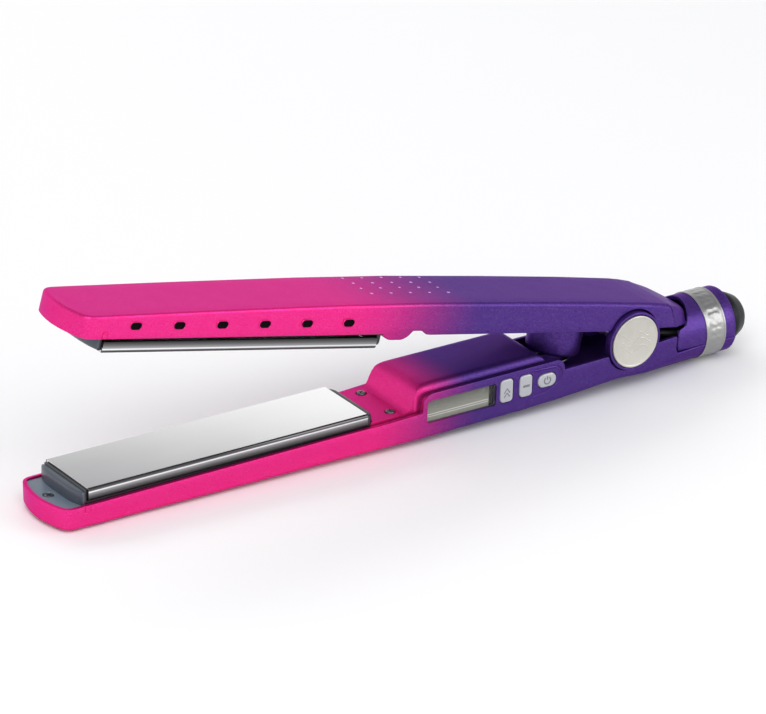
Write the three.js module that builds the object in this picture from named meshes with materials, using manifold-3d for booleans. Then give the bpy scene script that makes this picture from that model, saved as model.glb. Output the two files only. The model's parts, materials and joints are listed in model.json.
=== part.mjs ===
// Flat iron (hair straightener) with two spring-opened arms, millimetres, +Z up.
// +X runs from the tips to the cord end and -Y is the side with the display and the buttons.
// Everything is drawn in the lower arm's frame: x = 0 at the front end of the plates and
// z = 0 where the two plates meet when the arms are closed. The last lines stand the iron
// on its underside and put the origin at the bottom centre of its bounding box.

import * as THREE from 'three';
import { mergeVertices } from 'three/addons/utils/BufferGeometryUtils.js';
import Module from 'manifold-3d';

const wasm = await Module();
wasm.setup();

// ---- driving dimensions -------------------------------------------------------------

const PLATE_LENGTH = 127;          // 5 in heated length
const PLATE_WIDTH = 31.2;          // nominal 1 1/4 in plate
const PLATE_FLANK = 4.6;           // height of the plate's rounded flank
const PLATE_SKIN = 1.2;
const GAP = 0.3;                   // clearance between touching pieces
const OPEN_ANGLE = 12.35;          // degrees between the arms at rest
const STAND_TILT = 0.79;           // degrees that level the tip and the tail on a table
const HINGE = { x: 253.8, z: 2.1 };
const ARM_HALF = 17.3;             // half width of both arms
const WALL = 1.5;
const NOSE_X = -14;
const EAR_RADIUS = 12.4;
const EAR_FACE = 17.9;             // |y| of the ear's outer face
const EAR_INNER = 14.3;
const CAP_RADIUS = 11.05;
const PIN_RADIUS = 4.5;
const BUSH_SEAT = 6.1;             // bore of the upper arm's lugs
const LUG = { radius: 8.5, y0: 10.3, y1: 13.9 };
const REAR_BOW = { x: 262, length: 27, half: 20 };   // plan of the upper arm's bowed rear end
const COVER_BOW = { length: 24, half: 18.8 };        // the same bow where the rear cover meets it
const TAIL = { z: -6.8, radius: 13.5, wall: 1.6, start: 277, end: 308.4 };
const TAIL_SPLIT = -10;            // z where the rear cover meets the lower shell
const REAR_LEAN = -0.55;           // how far the upper arm's rear end leans forward per mm up
const BAND = { x0: 293.3, x1: 303, radius: 13.9 };
const POD = { x0: 151.5, x1: 219.5, top: 2.9, face: -17.9, inner: -15.9 };
const DISPLAY = { x0: 153.6, x1: 186.4, z0: -9.8, z1: -0.2 };
const BUTTON_TRAVEL = 0.8;
const BOARD = { x0: 152.6, x1: 216.8, z0: -11.4, z1: 0.8, y0: -12, y1: -10.8 };
const COVER_HALF = 14.9;
const WELL = { x0: 212, floor: -8 };
const CUP = { x: 227, radius: 11, wall: 1.4, bottom: -7.2 };
const VENT = { count: 6, first: 12.2, pitch: 19.72, z: 11.4, length: 4.8, height: 2.7 };
const SCREW = { head: 1.9, headHeight: 1.2, shank: 1.0, bore: 1.3 };
const TIP_SCREW_X = -8.2;
const COVER_SCREW = { lowerX: 141, upperX: 137.5, y: 10, lowerHeadZ: -3.9, upperHeadZ: 2.9 };
const TIP_SCREW_HEAD = 7.1;        // |z| of both tip screws' sunk heads
const TONGUE = { face: 6.9, seat: 8.4, back: 9.7, half: 14.6 };   // |z| and |y| under both tips
const REAR_CAP = { end: 130.6, flat: 10 };
const TAIL_SCREW = { x: 287.5, headZ: -18.9 };
const FLOAT_TRAVEL = 0.5;          // how far a plate sinks on its pads

const BUTTONS = [
  { name: 'button_up', x0: 188.2, x1: 194.3, z0: -9.4, z1: 0.5, r: 1.8 },
  { name: 'button_down', x0: 197.5, x1: 203.6, z0: -9.2, z1: 0.2, r: 1.8 },
  { name: 'button_power', x0: 206.4, x1: 215.2, z0: -7.4, z1: -1.6, r: 2.85 },
];

// Stations along an arm: half width at the rim and at the foot, depth from z = 0, fillet.
const LOWER_STATIONS = [
  { x: -16, half: 17.3, foot: 16.6, depth: 15.3, fillet: 2 },
  { x: 20, half: 17.3, foot: 16.5, depth: 15.8, fillet: 2 },
  { x: 110, half: 17.3, foot: 16.5, depth: 16.4, fillet: 2 },
  { x: 152, half: 17.9, foot: 17.2, depth: 16.4, fillet: 2 },
  { x: 200, half: 17.9, foot: 17.2, depth: 15.9, fillet: 2.5 },
  { x: 230, half: 17.5, foot: 16.8, depth: 15.0, fillet: 3 },
  { x: 248, half: 17.3, foot: 16.2, depth: 14.2, fillet: 3.5 },
  { x: 262, half: 16.9, foot: 16.2, depth: 15.6, fillet: 6 },
  { x: 275, half: 15.2, foot: 15.0, depth: 17.9, fillet: 9 },
  { x: 284, half: 14.0, foot: 14.0, depth: 19.5, fillet: 12 },
  { x: 292, half: 13.5, foot: 13.5, depth: 20.3, fillet: 13.45 },
  { x: 312, half: 13.5, foot: 13.5, depth: 20.3, fillet: 13.45 },
];
const UPPER_STATIONS = [
  { x: -16, half: 17.3, foot: 16.7, depth: 15.0, fillet: 1.4 },
  { x: 27, half: 17.3, foot: 16.6, depth: 16.3, fillet: 1.4 },
  { x: 60, half: 17.3, foot: 16.5, depth: 17.2, fillet: 1.4 },
  { x: 105, half: 17.3, foot: 16.4, depth: 18.3, fillet: 1.5 },
  { x: 148, half: 17.3, foot: 16.3, depth: 18.8, fillet: 1.6 },
  { x: 196, half: 17.3, foot: 16.1, depth: 18.5, fillet: 1.8 },
  { x: 233, half: 17.2, foot: 15.9, depth: 18.0, fillet: 2.2 },
  { x: 262, half: 17.0, foot: 15.5, depth: 17.2, fillet: 3 },
  { x: 271, half: 16.8, foot: 15.2, depth: 16.3, fillet: 3.5 },
  { x: 279, half: 16.6, foot: 15.0, depth: 14.6, fillet: 4 },
  { x: 290, half: 16.4, foot: 14.8, depth: 11.4, fillet: 4 },
];

const COLOUR = {
  pink: 0xe91d87, purple: 0x4b2a86, titanium: 0xc9ccd0, slate: 0x3c424b,
  black: 0x15161a, silver: 0xb9bac0, chrome: 0xd9d9da, steel: 0x9a9da3, brass: 0xb08d45,
  ceramic: 0xe8e4da, mica: 0xb9a27a, silicone: 0xa5482e, board: 0x14523a, glass: 0x8e9690,
};

// ---- helpers ------------------------------------------------------------------------

function solid(geometry) {
  const bare = geometry.clone();
  bare.deleteAttribute('normal');
  bare.deleteAttribute('uv');
  const merged = mergeVertices(bare, 1e-4);
  const vertProperties = new Float32Array(merged.attributes.position.array);
  const triVerts = new Uint32Array(merged.index.array);
  return new wasm.Manifold(new wasm.Mesh({ numProp: 3, vertProperties, triVerts }));
}

function join(first, ...rest) {
  return rest.reduce((whole, piece) => whole.add(piece), first);
}

function cut(first, ...rest) {
  return rest.reduce((whole, tool) => whole.subtract(tool), first);
}

function toGeometry(shape) {
  const mesh = shape.getMesh();
  const geometry = new THREE.BufferGeometry();
  const positions = new THREE.BufferAttribute(new Float32Array(mesh.vertProperties), 3);
  geometry.setAttribute('position', positions);
  geometry.setIndex(Array.from(mesh.triVerts));
  geometry.computeVertexNormals();
  return geometry;
}

function outline(points) {
  return new THREE.Shape(points.map(([a, b]) => new THREE.Vector2(a, b)));
}

function roundedRect(x0, y0, x1, y1, r) {
  const shape = new THREE.Shape();
  shape.moveTo(x0 + r, y0);
  shape.lineTo(x1 - r, y0);
  shape.absarc(x1 - r, y0 + r, r, -Math.PI / 2, 0, false);
  shape.lineTo(x1, y1 - r);
  shape.absarc(x1 - r, y1 - r, r, 0, Math.PI / 2, false);
  shape.lineTo(x0 + r, y1);
  shape.absarc(x0 + r, y1 - r, r, Math.PI / 2, Math.PI, false);
  shape.lineTo(x0, y0 + r);
  shape.absarc(x0 + r, y0 + r, r, Math.PI, 1.5 * Math.PI, false);
  return shape;
}

function extrude(shape, depth, curveSegments = 3) {
  return new THREE.ExtrudeGeometry(shape, { depth, bevelEnabled: false, curveSegments });
}

// A shape drawn in (x, z), swept from y0 to y1.
function alongY(shape, y0, y1, segments) {
  return solid(extrude(shape, y1 - y0, segments).rotateX(Math.PI / 2).translate(0, y1, 0));
}

// A shape drawn in (x, y), swept from z0 to z1.
function alongZ(shape, z0, z1, segments) {
  return solid(extrude(shape, z1 - z0, segments).translate(0, 0, z0));
}

// A shape drawn in (y, z), swept from x0 to x1.
function alongX(shape, x0, x1, segments) {
  const turn = new THREE.Matrix4().makeBasis(
    new THREE.Vector3(0, 1, 0), new THREE.Vector3(0, 0, 1), new THREE.Vector3(1, 0, 0));
  return solid(extrude(shape, x1 - x0, segments).applyMatrix4(turn).translate(x0, 0, 0));
}

// The same sweep along Z, sheared so that each mm of height moves the outline along X.
function leaningZ(shape, z0, z1, lean, pivotZ, segments) {
  const shear = new THREE.Matrix4().set(
    1, 0, lean, -lean * pivotZ, 0, 1, 0, 0, 0, 0, 1, 0, 0, 0, 0, 1);
  return solid(extrude(shape, z1 - z0, segments).translate(0, 0, z0).applyMatrix4(shear));
}

function block(x0, x1, y0, y1, z0, z1) {
  const box = new THREE.BoxGeometry(x1 - x0, y1 - y0, z1 - z0);
  return solid(box.translate((x0 + x1) / 2, (y0 + y1) / 2, (z0 + z1) / 2));
}

function rodX(radius, x0, x1, y, z, sides = 16) {
  const rod = new THREE.CylinderGeometry(radius, radius, x1 - x0, sides);
  return solid(rod.rotateZ(-Math.PI / 2).translate((x0 + x1) / 2, y, z));
}

function rodY(radius, y0, y1, x, z, sides = 16) {
  const rod = new THREE.CylinderGeometry(radius, radius, y1 - y0, sides);
  return solid(rod.translate(x, (y0 + y1) / 2, z));
}

function rodZ(radius, z0, z1, x, y, sides = 10) {
  const rod = new THREE.CylinderGeometry(radius, radius, z1 - z0, sides);
  return solid(rod.rotateX(Math.PI / 2).translate(x, y, (z0 + z1) / 2));
}

// A profile of (radius, x) points turned about an axis parallel to X.
function turnedX(points, z, sides = 20) {
  const profile = points.map(([r, x]) => new THREE.Vector2(r, x));
  const lathe = new THREE.LatheGeometry(profile, sides);
  return solid(lathe.rotateZ(-Math.PI / 2).translate(0, 0, z));
}

// A tube of the given radius along a smooth curve through the points.
function tube(points, radius, steps, sides = 8) {
  const path = new THREE.CatmullRomCurve3(points.map(([x, y, z]) => new THREE.Vector3(x, y, z)));
  const section = new THREE.Shape();
  section.absarc(0, 0, radius, 0, 2 * Math.PI, false);
  return new THREE.ExtrudeGeometry(section, { steps, curveSegments: sides / 2, extrudePath: path });
}

function place(group, name, shape, colour, roughness = 0.4, metalness = 0) {
  const geometry = shape.isBufferGeometry ? shape : toGeometry(shape);
  const material = new THREE.MeshStandardMaterial({ color: colour, roughness, metalness });
  const mesh = new THREE.Mesh(geometry, material);
  mesh.name = name;
  group.add(mesh);
}

// ---- arm casings --------------------------------------------------------------------

// One closed ring of (y, z) points: flat top at z = 2, drafted sides and filleted foot.
function troughRing(station, inset) {
  const half = station.half - inset;
  const foot = station.foot - inset;
  const floor = -(station.depth - inset);
  const fillet = Math.max(station.fillet - inset, 0.5);
  const ring = [[half, 2], [-half, 2]];
  for (let k = 0; k <= 3; k += 1) {
    const angle = Math.PI * (1 + k / 6);
    ring.push([-foot + fillet * (1 + Math.cos(angle)), floor + fillet * (1 + Math.sin(angle))]);
  }
  for (let k = 0; k <= 3; k += 1) {
    const angle = Math.PI * (1.5 + k / 6);
    ring.push([foot - fillet * (1 - Math.cos(angle)), floor + fillet * (1 + Math.sin(angle))]);
  }
  return ring;
}

// A trough-shaped body through all the stations, each side shrunk by the inset.
function trough(stations, inset) {
  const rings = stations.map((station) => troughRing(station, inset));
  const count = rings[0].length;
  const position = stations.flatMap((station, s) => rings[s].flatMap(([y, z]) => [station.x, y, z]));
  const index = [];
  for (let s = 0; s + 1 < stations.length; s += 1) {
    for (let i = 0; i < count; i += 1) {
      const a = s * count + i;
      const b = s * count + ((i + 1) % count);
      index.push(a, b, b + count, a, b + count, a + count);
    }
  }
  const last = (stations.length - 1) * count;
  for (let i = 1; i + 1 < count; i += 1) {
    index.push(0, i + 1, i, last, last + i, last + i + 1);
  }
  const geometry = new THREE.BufferGeometry();
  geometry.setAttribute('position', new THREE.BufferAttribute(new Float32Array(position), 3));
  geometry.setIndex(index);
  return geometry;
}

// The arms' outline from above: bowed nose with round corners, and a round rear end.
function armPlan(inset, rearLength) {
  const half = ARM_HALF + 1 - inset;
  const nose = NOSE_X + inset;
  const rear = 262;
  const plan = new THREE.Shape();
  plan.moveTo(-7, -half);
  plan.lineTo(rear, -half);
  plan.absellipse(rear, 0, rearLength - inset, half, -Math.PI / 2, Math.PI / 2, false, 0);
  plan.lineTo(-7, half);
  plan.lineTo(-7, ARM_HALF - inset);
  plan.quadraticCurveTo(nose + 1.6, ARM_HALF - inset - 0.6, nose + 1.8, 11.5 - inset);
  plan.quadraticCurveTo(nose, 5.5, nose, 0);
  plan.quadraticCurveTo(nose, -5.5, nose + 1.8, -11.5 + inset);
  plan.quadraticCurveTo(nose + 1.6, -ARM_HALF + inset + 0.6, -7, -ARM_HALF + inset);
  return plan;
}

function screwBoss(x, y, z0, z1) {
  return rodZ(3, z0, z1, x, y);
}

// Everything in front of the upper arm's bowed rear end, which leans forward going up.
function rearEnvelope(grow, z0, z1) {
  const shape = new THREE.Shape();
  shape.moveTo(-60, -REAR_BOW.half - grow);
  shape.lineTo(REAR_BOW.x, -REAR_BOW.half - grow);
  shape.absellipse(REAR_BOW.x, 0, REAR_BOW.length + grow, REAR_BOW.half + grow,
    -Math.PI / 2, Math.PI / 2, false, 0);
  shape.lineTo(-60, REAR_BOW.half + grow);
  return leaningZ(shape, z0, z1, REAR_LEAN, 5, 8);
}

// Turns a shape drawn in the closed position to where the partly open upper arm holds it.
function opened(shape, part) {
  return shape.translate([-HINGE.x, 0, -HINGE.z]).rotate([0, OPEN_ANGLE * part, 0])
    .translate([HINGE.x, 0, HINGE.z]);
}

function ventTool(x) {
  const r = VENT.height / 2;
  const slot = roundedRect(
    x - VENT.length / 2, VENT.z - r, x + VENT.length / 2, VENT.z + r, r - 0.01);
  return alongY(slot, -20, 20, 2);
}

function podOutline() {
  const shape = new THREE.Shape();
  shape.moveTo(POD.x0, -12);
  shape.lineTo(POD.x1, -12);
  shape.lineTo(POD.x1, POD.top - 3.2);
  shape.absarc(POD.x1 - 3.2, POD.top - 3.2, 3.2, 0, Math.PI / 2, false);
  shape.lineTo(POD.x0 + 4.6, POD.top);
  shape.absarc(POD.x0 + 4.6, POD.top - 4.6, 4.6, Math.PI / 2, Math.PI, false);
  return shape;
}

function displayOutline(grow) {
  const { x0, x1, z0, z1 } = DISPLAY;
  return roundedRect(x0 - grow, z0 - grow, x1 + grow, z1 + grow, 1.2);
}

function buttonOutline(button, grow) {
  const { x0, x1, z0, z1, r } = button;
  return roundedRect(x0 - grow, z0 - grow, x1 + grow, z1 + grow, r);
}

// Round bosses that carry the hinge pins, and the seats of the two hinge caps.
function ear(side) {
  const [y0, y1] = side < 0 ? [-EAR_FACE, -EAR_INNER] : [EAR_INNER, EAR_FACE];
  return rodY(EAR_RADIUS, y0, y1, HINGE.x, HINGE.z, 28);
}

function earSeat(side) {
  const [y0, y1] = side < 0 ? [-EAR_FACE - 1, -EAR_FACE + 1] : [EAR_FACE - 1, EAR_FACE + 1];
  return rodY(CAP_RADIUS + GAP, y0, y1, HINGE.x, HINGE.z, 28);
}

function bandGroove() {
  const ring = rodX(TAIL.radius + 3, BAND.x0 - GAP, BAND.x1 + GAP, 0, TAIL.z, 30);
  return ring.subtract(rodX(TAIL.radius - 0.6, BAND.x0 - 1, BAND.x1 + 1, 0, TAIL.z, 30));
}

function lowerShell() {
  const rim = outline([
    [-20, -40], [-20, -6.6], [134, -5.5], [149, -4.9], [222, -2.1], [TAIL.start + 0.4, -1.9],
    [TAIL.start, TAIL_SPLIT - GAP / 2], [TAIL.end, TAIL_SPLIT - GAP / 2], [TAIL.end, -40],
  ]);
  const plan = alongZ(armPlan(0, 60), -40, 10, 5);
  const outer = solid(trough(LOWER_STATIONS, 0)).intersect(plan).intersect(alongY(rim, -30, 30));
  const pod = alongY(podOutline(), POD.face, POD.inner, 4);
  const body = join(outer, pod, ear(-1), ear(1));
  const cavityPlan = alongZ(armPlan(WALL, 60), -40, 10, 5);
  const behindPod = block(POD.x0 - 1, POD.x1 + 1, POD.inner, -POD.inner, -11.6, 10);
  const cavity = cut(
    solid(trough(LOWER_STATIONS, WALL)).intersect(cavityPlan).add(behindPod),
    block(TAIL.end - 2.6, 330, -30, 30, -40, 10),
    ear(-1), ear(1));
  const bosses = join(
    screwBoss(TIP_SCREW_X, 0, -15, -TONGUE.back - GAP),
    screwBoss(COVER_SCREW.lowerX, -COVER_SCREW.y, -16, -6.4),
    screwBoss(COVER_SCREW.lowerX, COVER_SCREW.y, -16, -6.4),
    rodZ(3.6, -19.8, TAIL_SPLIT - 2.5, TAIL_SCREW.x, 0, 16).intersect(outer));
  const holes = join(
    rodZ(SCREW.bore, -14, 0, TIP_SCREW_X, 0),
    rodZ(SCREW.bore, -14.5, 0, COVER_SCREW.lowerX, -COVER_SCREW.y),
    rodZ(SCREW.bore, -14.5, 0, COVER_SCREW.lowerX, COVER_SCREW.y),
    rodZ(SCREW.bore, -30, 0, TAIL_SCREW.x, 0),
    rodZ(SCREW.head + GAP, -30, -17.4, TAIL_SCREW.x, 0, 16),
    rodY(PIN_RADIUS + GAP, -30, 30, HINGE.x, HINGE.z),
    earSeat(-1), earSeat(1),
    rodX(8.6, 300, 312, 0, TAIL.z, 24),
    alongY(displayOutline(0), -25, -14),
    ...BUTTONS.map((button) => alongY(buttonOutline(button, GAP), -25, -14)),
    rodY(1.3, -30, 30, -1.2, -6.4, 10));
  return cut(body, cavity).add(bosses).subtract(holes).subtract(bandGroove());
}

function upperShell() {
  const rim = outline([
    [-20, 40], [-20, 6.2], [124, 6.5], [136, 6.6], [139, 7.6], [147, 7.6], [150, 5.9],
    [243, 6.0], [266, 8.3], [300, 9.6], [300, 40],
  ]);
  const flip = (shape) => shape.rotate([180, 0, 0]);
  const plan = alongZ(armPlan(0, 60), -10, 40, 5).intersect(rearEnvelope(0, -10, 40));
  const inner = alongZ(armPlan(WALL, 60), -10, 40, 5).intersect(rearEnvelope(-WALL, -10, 40));
  const outer = flip(solid(trough(UPPER_STATIONS, 0))).intersect(plan);
  const cavity = flip(solid(trough(UPPER_STATIONS, WALL))).intersect(inner);
  const body = outer.subtract(cavity).intersect(alongY(rim, -30, 30));
  const bosses = join(
    screwBoss(TIP_SCREW_X, 0, TONGUE.back + GAP, 14.5),
    screwBoss(COVER_SCREW.upperX, -COVER_SCREW.y, 5.6, 17.5),
    screwBoss(COVER_SCREW.upperX, COVER_SCREW.y, 5.6, 17.5));
  const holes = join(
    rodZ(SCREW.bore, 0, 13.5, TIP_SCREW_X, 0),
    rodZ(SCREW.bore, 0, 16, COVER_SCREW.upperX, -COVER_SCREW.y),
    rodZ(SCREW.bore, 0, 16, COVER_SCREW.upperX, COVER_SCREW.y),
    rodY(EAR_RADIUS + 0.5, -30, 30, HINGE.x, HINGE.z, 28),
    rodY(1.3, -30, 30, -1.2, 6.3, 10));
  const vents = Array.from({ length: VENT.count }, (_, i) => ventTool(VENT.first + i * VENT.pitch));
  return body.add(bosses).subtract(holes).subtract(join(...vents));
}

// ---- inner covers -------------------------------------------------------------------

// The holder's rear end cap from above; the inner covers hug it.
function rearCapPlan(grow) {
  const plan = new THREE.Shape();
  plan.moveTo(PLATE_LENGTH + GAP - 2 * grow, 14.6 + grow);
  plan.lineTo(PLATE_LENGTH + GAP - 2 * grow, -14.6 - grow);
  plan.lineTo(128.4, -14.8 - grow);
  plan.quadraticCurveTo(REAR_CAP.end + grow, -13.6 - grow, REAR_CAP.end + grow, -REAR_CAP.flat);
  plan.lineTo(REAR_CAP.end + grow, REAR_CAP.flat);
  plan.quadraticCurveTo(REAR_CAP.end + grow, 13.6 + grow, 128.4, 14.8 + grow);
  return plan;
}

// The lid over the lower arm: screw step, raised hood, spring well and floor to the tail.
function lowerInnerCover() {
  const step = -4.5;
  const top = [[128.4, step], [146.6, step], [148.6, 0.5], [150.6, 4], [153, 5.3], [158, 5.6],
    [204, 5.6], [207, 4], [WELL.x0, WELL.floor], [270, WELL.floor]];
  const under = top.map(([x, z]) => [x + (x > 200 && x < 213 ? -WALL : WALL), z - WALL]);
  const outerSide = alongY(outline([[128.4, -9.5], ...top, [270, -9.5]]), -20, 20);
  const innerSide = alongY(
    outline([[129.9, -20], ...under.slice(0, -1), [280, -9.5], [280, -20]]), -20, 20);
  const section = (inset) => roundedRect(
    -COVER_HALF + inset, -20, COVER_HALF - inset, 5.7 - inset, 3.6 - inset / 2);
  const outer = outerSide.intersect(alongX(section(0), 120, 275));
  const inner = innerSide.intersect(alongX(section(WALL), 120, 285));
  const screwHoles = [-COVER_SCREW.y, COVER_SCREW.y].map((y) => rodZ(
    SCREW.bore, -14, 0, COVER_SCREW.lowerX, y).add(
    rodZ(SCREW.head + GAP, -5.4, 0, COVER_SCREW.lowerX, y)));
  const earRoom = [[-20, -EAR_INNER + GAP], [EAR_INNER - GAP, 20]].map(([y0, y1]) => block(
    HINGE.x - 13.2, HINGE.x + 13.2, y0, y1, -14, 8));
  const tools = join(
    alongZ(rearCapPlan(GAP), -20, 10, 5),
    block(150.5, 221, -17, -9.6, -14, 1.9),
    block(262, 280, 12.4, 20, -14, 0), block(262, 280, -20, -12.4, -14, 0),
    ...earRoom, ...screwHoles);
  return cut(outer, inner, tools);
}

// The lid under the upper arm, with the spring cup and the two hinge lugs.
function upperInnerCover() {
  const bottom = [[128.4, 6.8], [129.6, 4.2], [132.5, 3.1], [139.6, 3.1], [142, 4.2],
    [144.6, 7.2], [276, 7.2]];
  const slab = outline([...bottom, [276, 8.7], [145.5, 8.7], [145.5, 10.4], [128.4, 10.4]]);
  const body = alongY(slab, -COVER_HALF, COVER_HALF);
  const room = block(130, 144, -14, 14, 5.2, 12);
  const plan = alongZ(armPlan(WALL + GAP, 23), 0, 20, 5);
  const cup = rodZ(CUP.radius, CUP.bottom, 9, CUP.x, 0, 24);
  const cupRoom = rodZ(CUP.radius - CUP.wall, CUP.bottom - 1, 7.8, CUP.x, 0, 24);
  const lug = (y0, y1) => rodY(LUG.radius, y0, y1, HINGE.x, HINGE.z, 24);
  const lugs = join(lug(LUG.y0, LUG.y1), lug(-LUG.y1, -LUG.y0));
  const tools = join(
    cupRoom, alongZ(rearCapPlan(GAP), -20, 20, 5),
    rodY(BUSH_SEAT, -30, -10, HINGE.x, HINGE.z, 24), rodY(BUSH_SEAT, 10, 30, HINGE.x, HINGE.z, 24),
    rodZ(2.4, 5, 10, 245.6, 0),
    rodZ(SCREW.bore, 0, 12, COVER_SCREW.upperX, -COVER_SCREW.y),
    rodZ(SCREW.bore, 0, 12, COVER_SCREW.upperX, COVER_SCREW.y),
    rodZ(SCREW.head + GAP, 0, 4.2, COVER_SCREW.upperX, -COVER_SCREW.y),
    rodZ(SCREW.head + GAP, 0, 4.2, COVER_SCREW.upperX, COVER_SCREW.y),
    block(HINGE.x - 22, 280, 14, 20, 0, 12),
    block(HINGE.x - 22, 280, -20, -14, 0, 12));
  return cut(body, room).intersect(plan).add(cup).add(lugs).subtract(tools);
}

// ---- heated plate and what carries it, the same in both arms ------------------------

function plateSection() {
  const half = PLATE_WIDTH / 2;
  const top = -GAP / 2;
  const shape = new THREE.Shape();
  shape.moveTo(-half, top - PLATE_FLANK);
  shape.lineTo(-half + PLATE_SKIN, top - PLATE_FLANK);
  shape.lineTo(-half + PLATE_SKIN, top - PLATE_SKIN);
  shape.lineTo(half - PLATE_SKIN, top - PLATE_SKIN);
  shape.lineTo(half - PLATE_SKIN, top - PLATE_FLANK);
  shape.lineTo(half, top - PLATE_FLANK);
  shape.lineTo(half, top - 1);
  shape.absarc(half - 1, top - 1, 1, 0, Math.PI / 2, false);
  shape.lineTo(-half + 1, top);
  shape.absarc(-half + 1, top - 1, 1, Math.PI / 2, Math.PI, false);
  return shape;
}

// Tray under the plate, with a round cap at each end and a tongue for the tip screw.
function plateHolder() {
  const tray = block(-1, 128.2, -14.8, 14.8, -7.6, -5.6);
  const frontPlan = new THREE.Shape();
  frontPlan.moveTo(-GAP, -14.7);
  frontPlan.lineTo(-GAP, 14.7);
  frontPlan.lineTo(-1.4, 15);
  frontPlan.quadraticCurveTo(-4.6, 9, -4.6, 0);
  frontPlan.quadraticCurveTo(-4.6, -9, -1.4, -15);
  const frontCap = alongZ(frontPlan, -7.6, -1.7, 5);
  const rearCap = alongZ(rearCapPlan(0), -7.6, -1.4, 5);
  const tonguePlan = alongZ(armPlan(WALL + GAP, 60), -TONGUE.back, -TONGUE.face, 5);
  const tongue = tonguePlan.intersect(block(-20, 2, -TONGUE.half, TONGUE.half, -10, 0));
  const tools = join(
    rodZ(SCREW.bore, -10, 0, TIP_SCREW_X, 0, 12),
    rodZ(SCREW.head + GAP, -TONGUE.seat, 0, TIP_SCREW_X, 0, 16),
    block(20, 107, -12.4, 12.4, -6.7, -5),
    block(4, 19, -3, 3, -6.9, -5), block(108, 123, -3, 3, -6.9, -5),
    rodZ(2.4, -10, -4, 113, 8, 16));
  return join(tray, frontCap, rearCap, tongue).subtract(tools);
}

function heaterClip() {
  const base = block(14, 113, -10.6, 10.6, -4.9, -4.4);
  const lip = (y0, y1) => block(14, 113, y0, y1, -4.9, -2.2);
  return join(base, lip(-10.6, -10.1), lip(10.1, 10.6));
}

function heatedCassette(group, arm, heaterColour) {
  place(group, `${arm}_plate`, alongX(plateSection(), 0, PLATE_LENGTH), COLOUR.titanium, 0.12, 1);
  place(group, `${arm}_plate_holder`, plateHolder(), COLOUR.slate, 0.5);
  place(group, `${arm}_heater`, block(16, 111, -9.7, 9.7, -4.1, -1.65), heaterColour, 0.6);
  place(group, `${arm}_heater_clip`, heaterClip(), COLOUR.steel, 0.35, 1);
  const bead = roundedRect(113.6, -2, 118.6, 2, 1.4);
  place(group, `${arm}_thermistor`, alongZ(bead, -3.6, -1.65), COLOUR.black, 0.5);
  place(group, `${arm}_mica_sheet`, block(22, 105, -11.6, 11.6, -5.6, -5.2), COLOUR.mica, 0.7);
  place(group, `${arm}_float_pad_front`, block(5, 13, -2.6, 2.6, -6.6, -1.65), COLOUR.silicone, 0.8);
  place(group, `${arm}_float_pad_rear`, block(119.2, 122.6, -2.6, 2.6, -6.6, -1.65),
    COLOUR.silicone, 0.8);
}

// ---- screws, pins, caps and spring --------------------------------------------------

// A screw along Z with its head's outer face at headZ; turn -1 points the head down.
function screw(x, y, headZ, length, turn = 1) {
  const profile = [[0, -length], [SCREW.shank, -length + 0.6], [SCREW.shank, -SCREW.headHeight],
    [SCREW.head, -SCREW.headHeight], [SCREW.head, -0.3], [SCREW.head - 0.3, 0], [0.7, 0],
    [0.5, -0.7], [0, -0.7]];
  const points = profile.map(([r, h]) => new THREE.Vector2(r, h));
  const lathe = new THREE.LatheGeometry(points, 10).rotateX(Math.PI / 2);
  if (turn < 0) {
    lathe.rotateX(Math.PI);
  }
  return solid(lathe.translate(x, y, headZ));
}

function hingePin(side) {
  const [y0, y1] = side < 0 ? [-16.6, -3.4] : [3.4, 16.6];
  return rodY(PIN_RADIUS, y0, y1, HINGE.x, HINGE.z).subtract(
    rodY(3, y0 - 1, y1 + 1, HINGE.x, HINGE.z));
}

function hingeBush(side) {
  const [y0, y1] = side < 0 ? [-13.8, -10.4] : [10.4, 13.8];
  return rodY(5.8, y0, y1, HINGE.x, HINGE.z, 24).subtract(
    rodY(PIN_RADIUS + GAP, y0 - 1, y1 + 1, HINGE.x, HINGE.z));
}

function hingeCap(side) {
  const face = EAR_FACE - 1 + GAP;
  const [y0, y1] = side < 0 ? [-face - 1.1, -face] : [face, face + 1.1];
  const [s0, s1] = side < 0 ? [-face - 0.2, -11] : [11, face + 0.2];
  return rodY(CAP_RADIUS, y0, y1, HINGE.x, HINGE.z, 28).add(
    rodY(2.6, s0, s1, HINGE.x, HINGE.z, 16));
}

// Compression coil between the well floor and the cup's ceiling, at the open angle.
function armSpring() {
  const bottom = new THREE.Vector3(225.2, 0, WELL.floor + GAP + 0.7);
  const top = new THREE.Vector3(228.5, 0, 11.9);
  const radius = 7;
  const turns = 5;
  const count = turns * 8;
  const points = Array.from({ length: count + 1 }, (_, i) => {
    const t = i / count;
    const angle = 2 * Math.PI * turns * t;
    const centre = new THREE.Vector3().lerpVectors(bottom, top, t);
    const lean = t * Math.sin(THREE.MathUtils.degToRad(OPEN_ANGLE));
    const across = radius * Math.cos(angle);
    return [centre.x + across, radius * Math.sin(angle), centre.z - lean * across];
  });
  return tube(points, 0.7, count, 6);
}

// ---- tail, swivel and electrics -----------------------------------------------------

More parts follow.
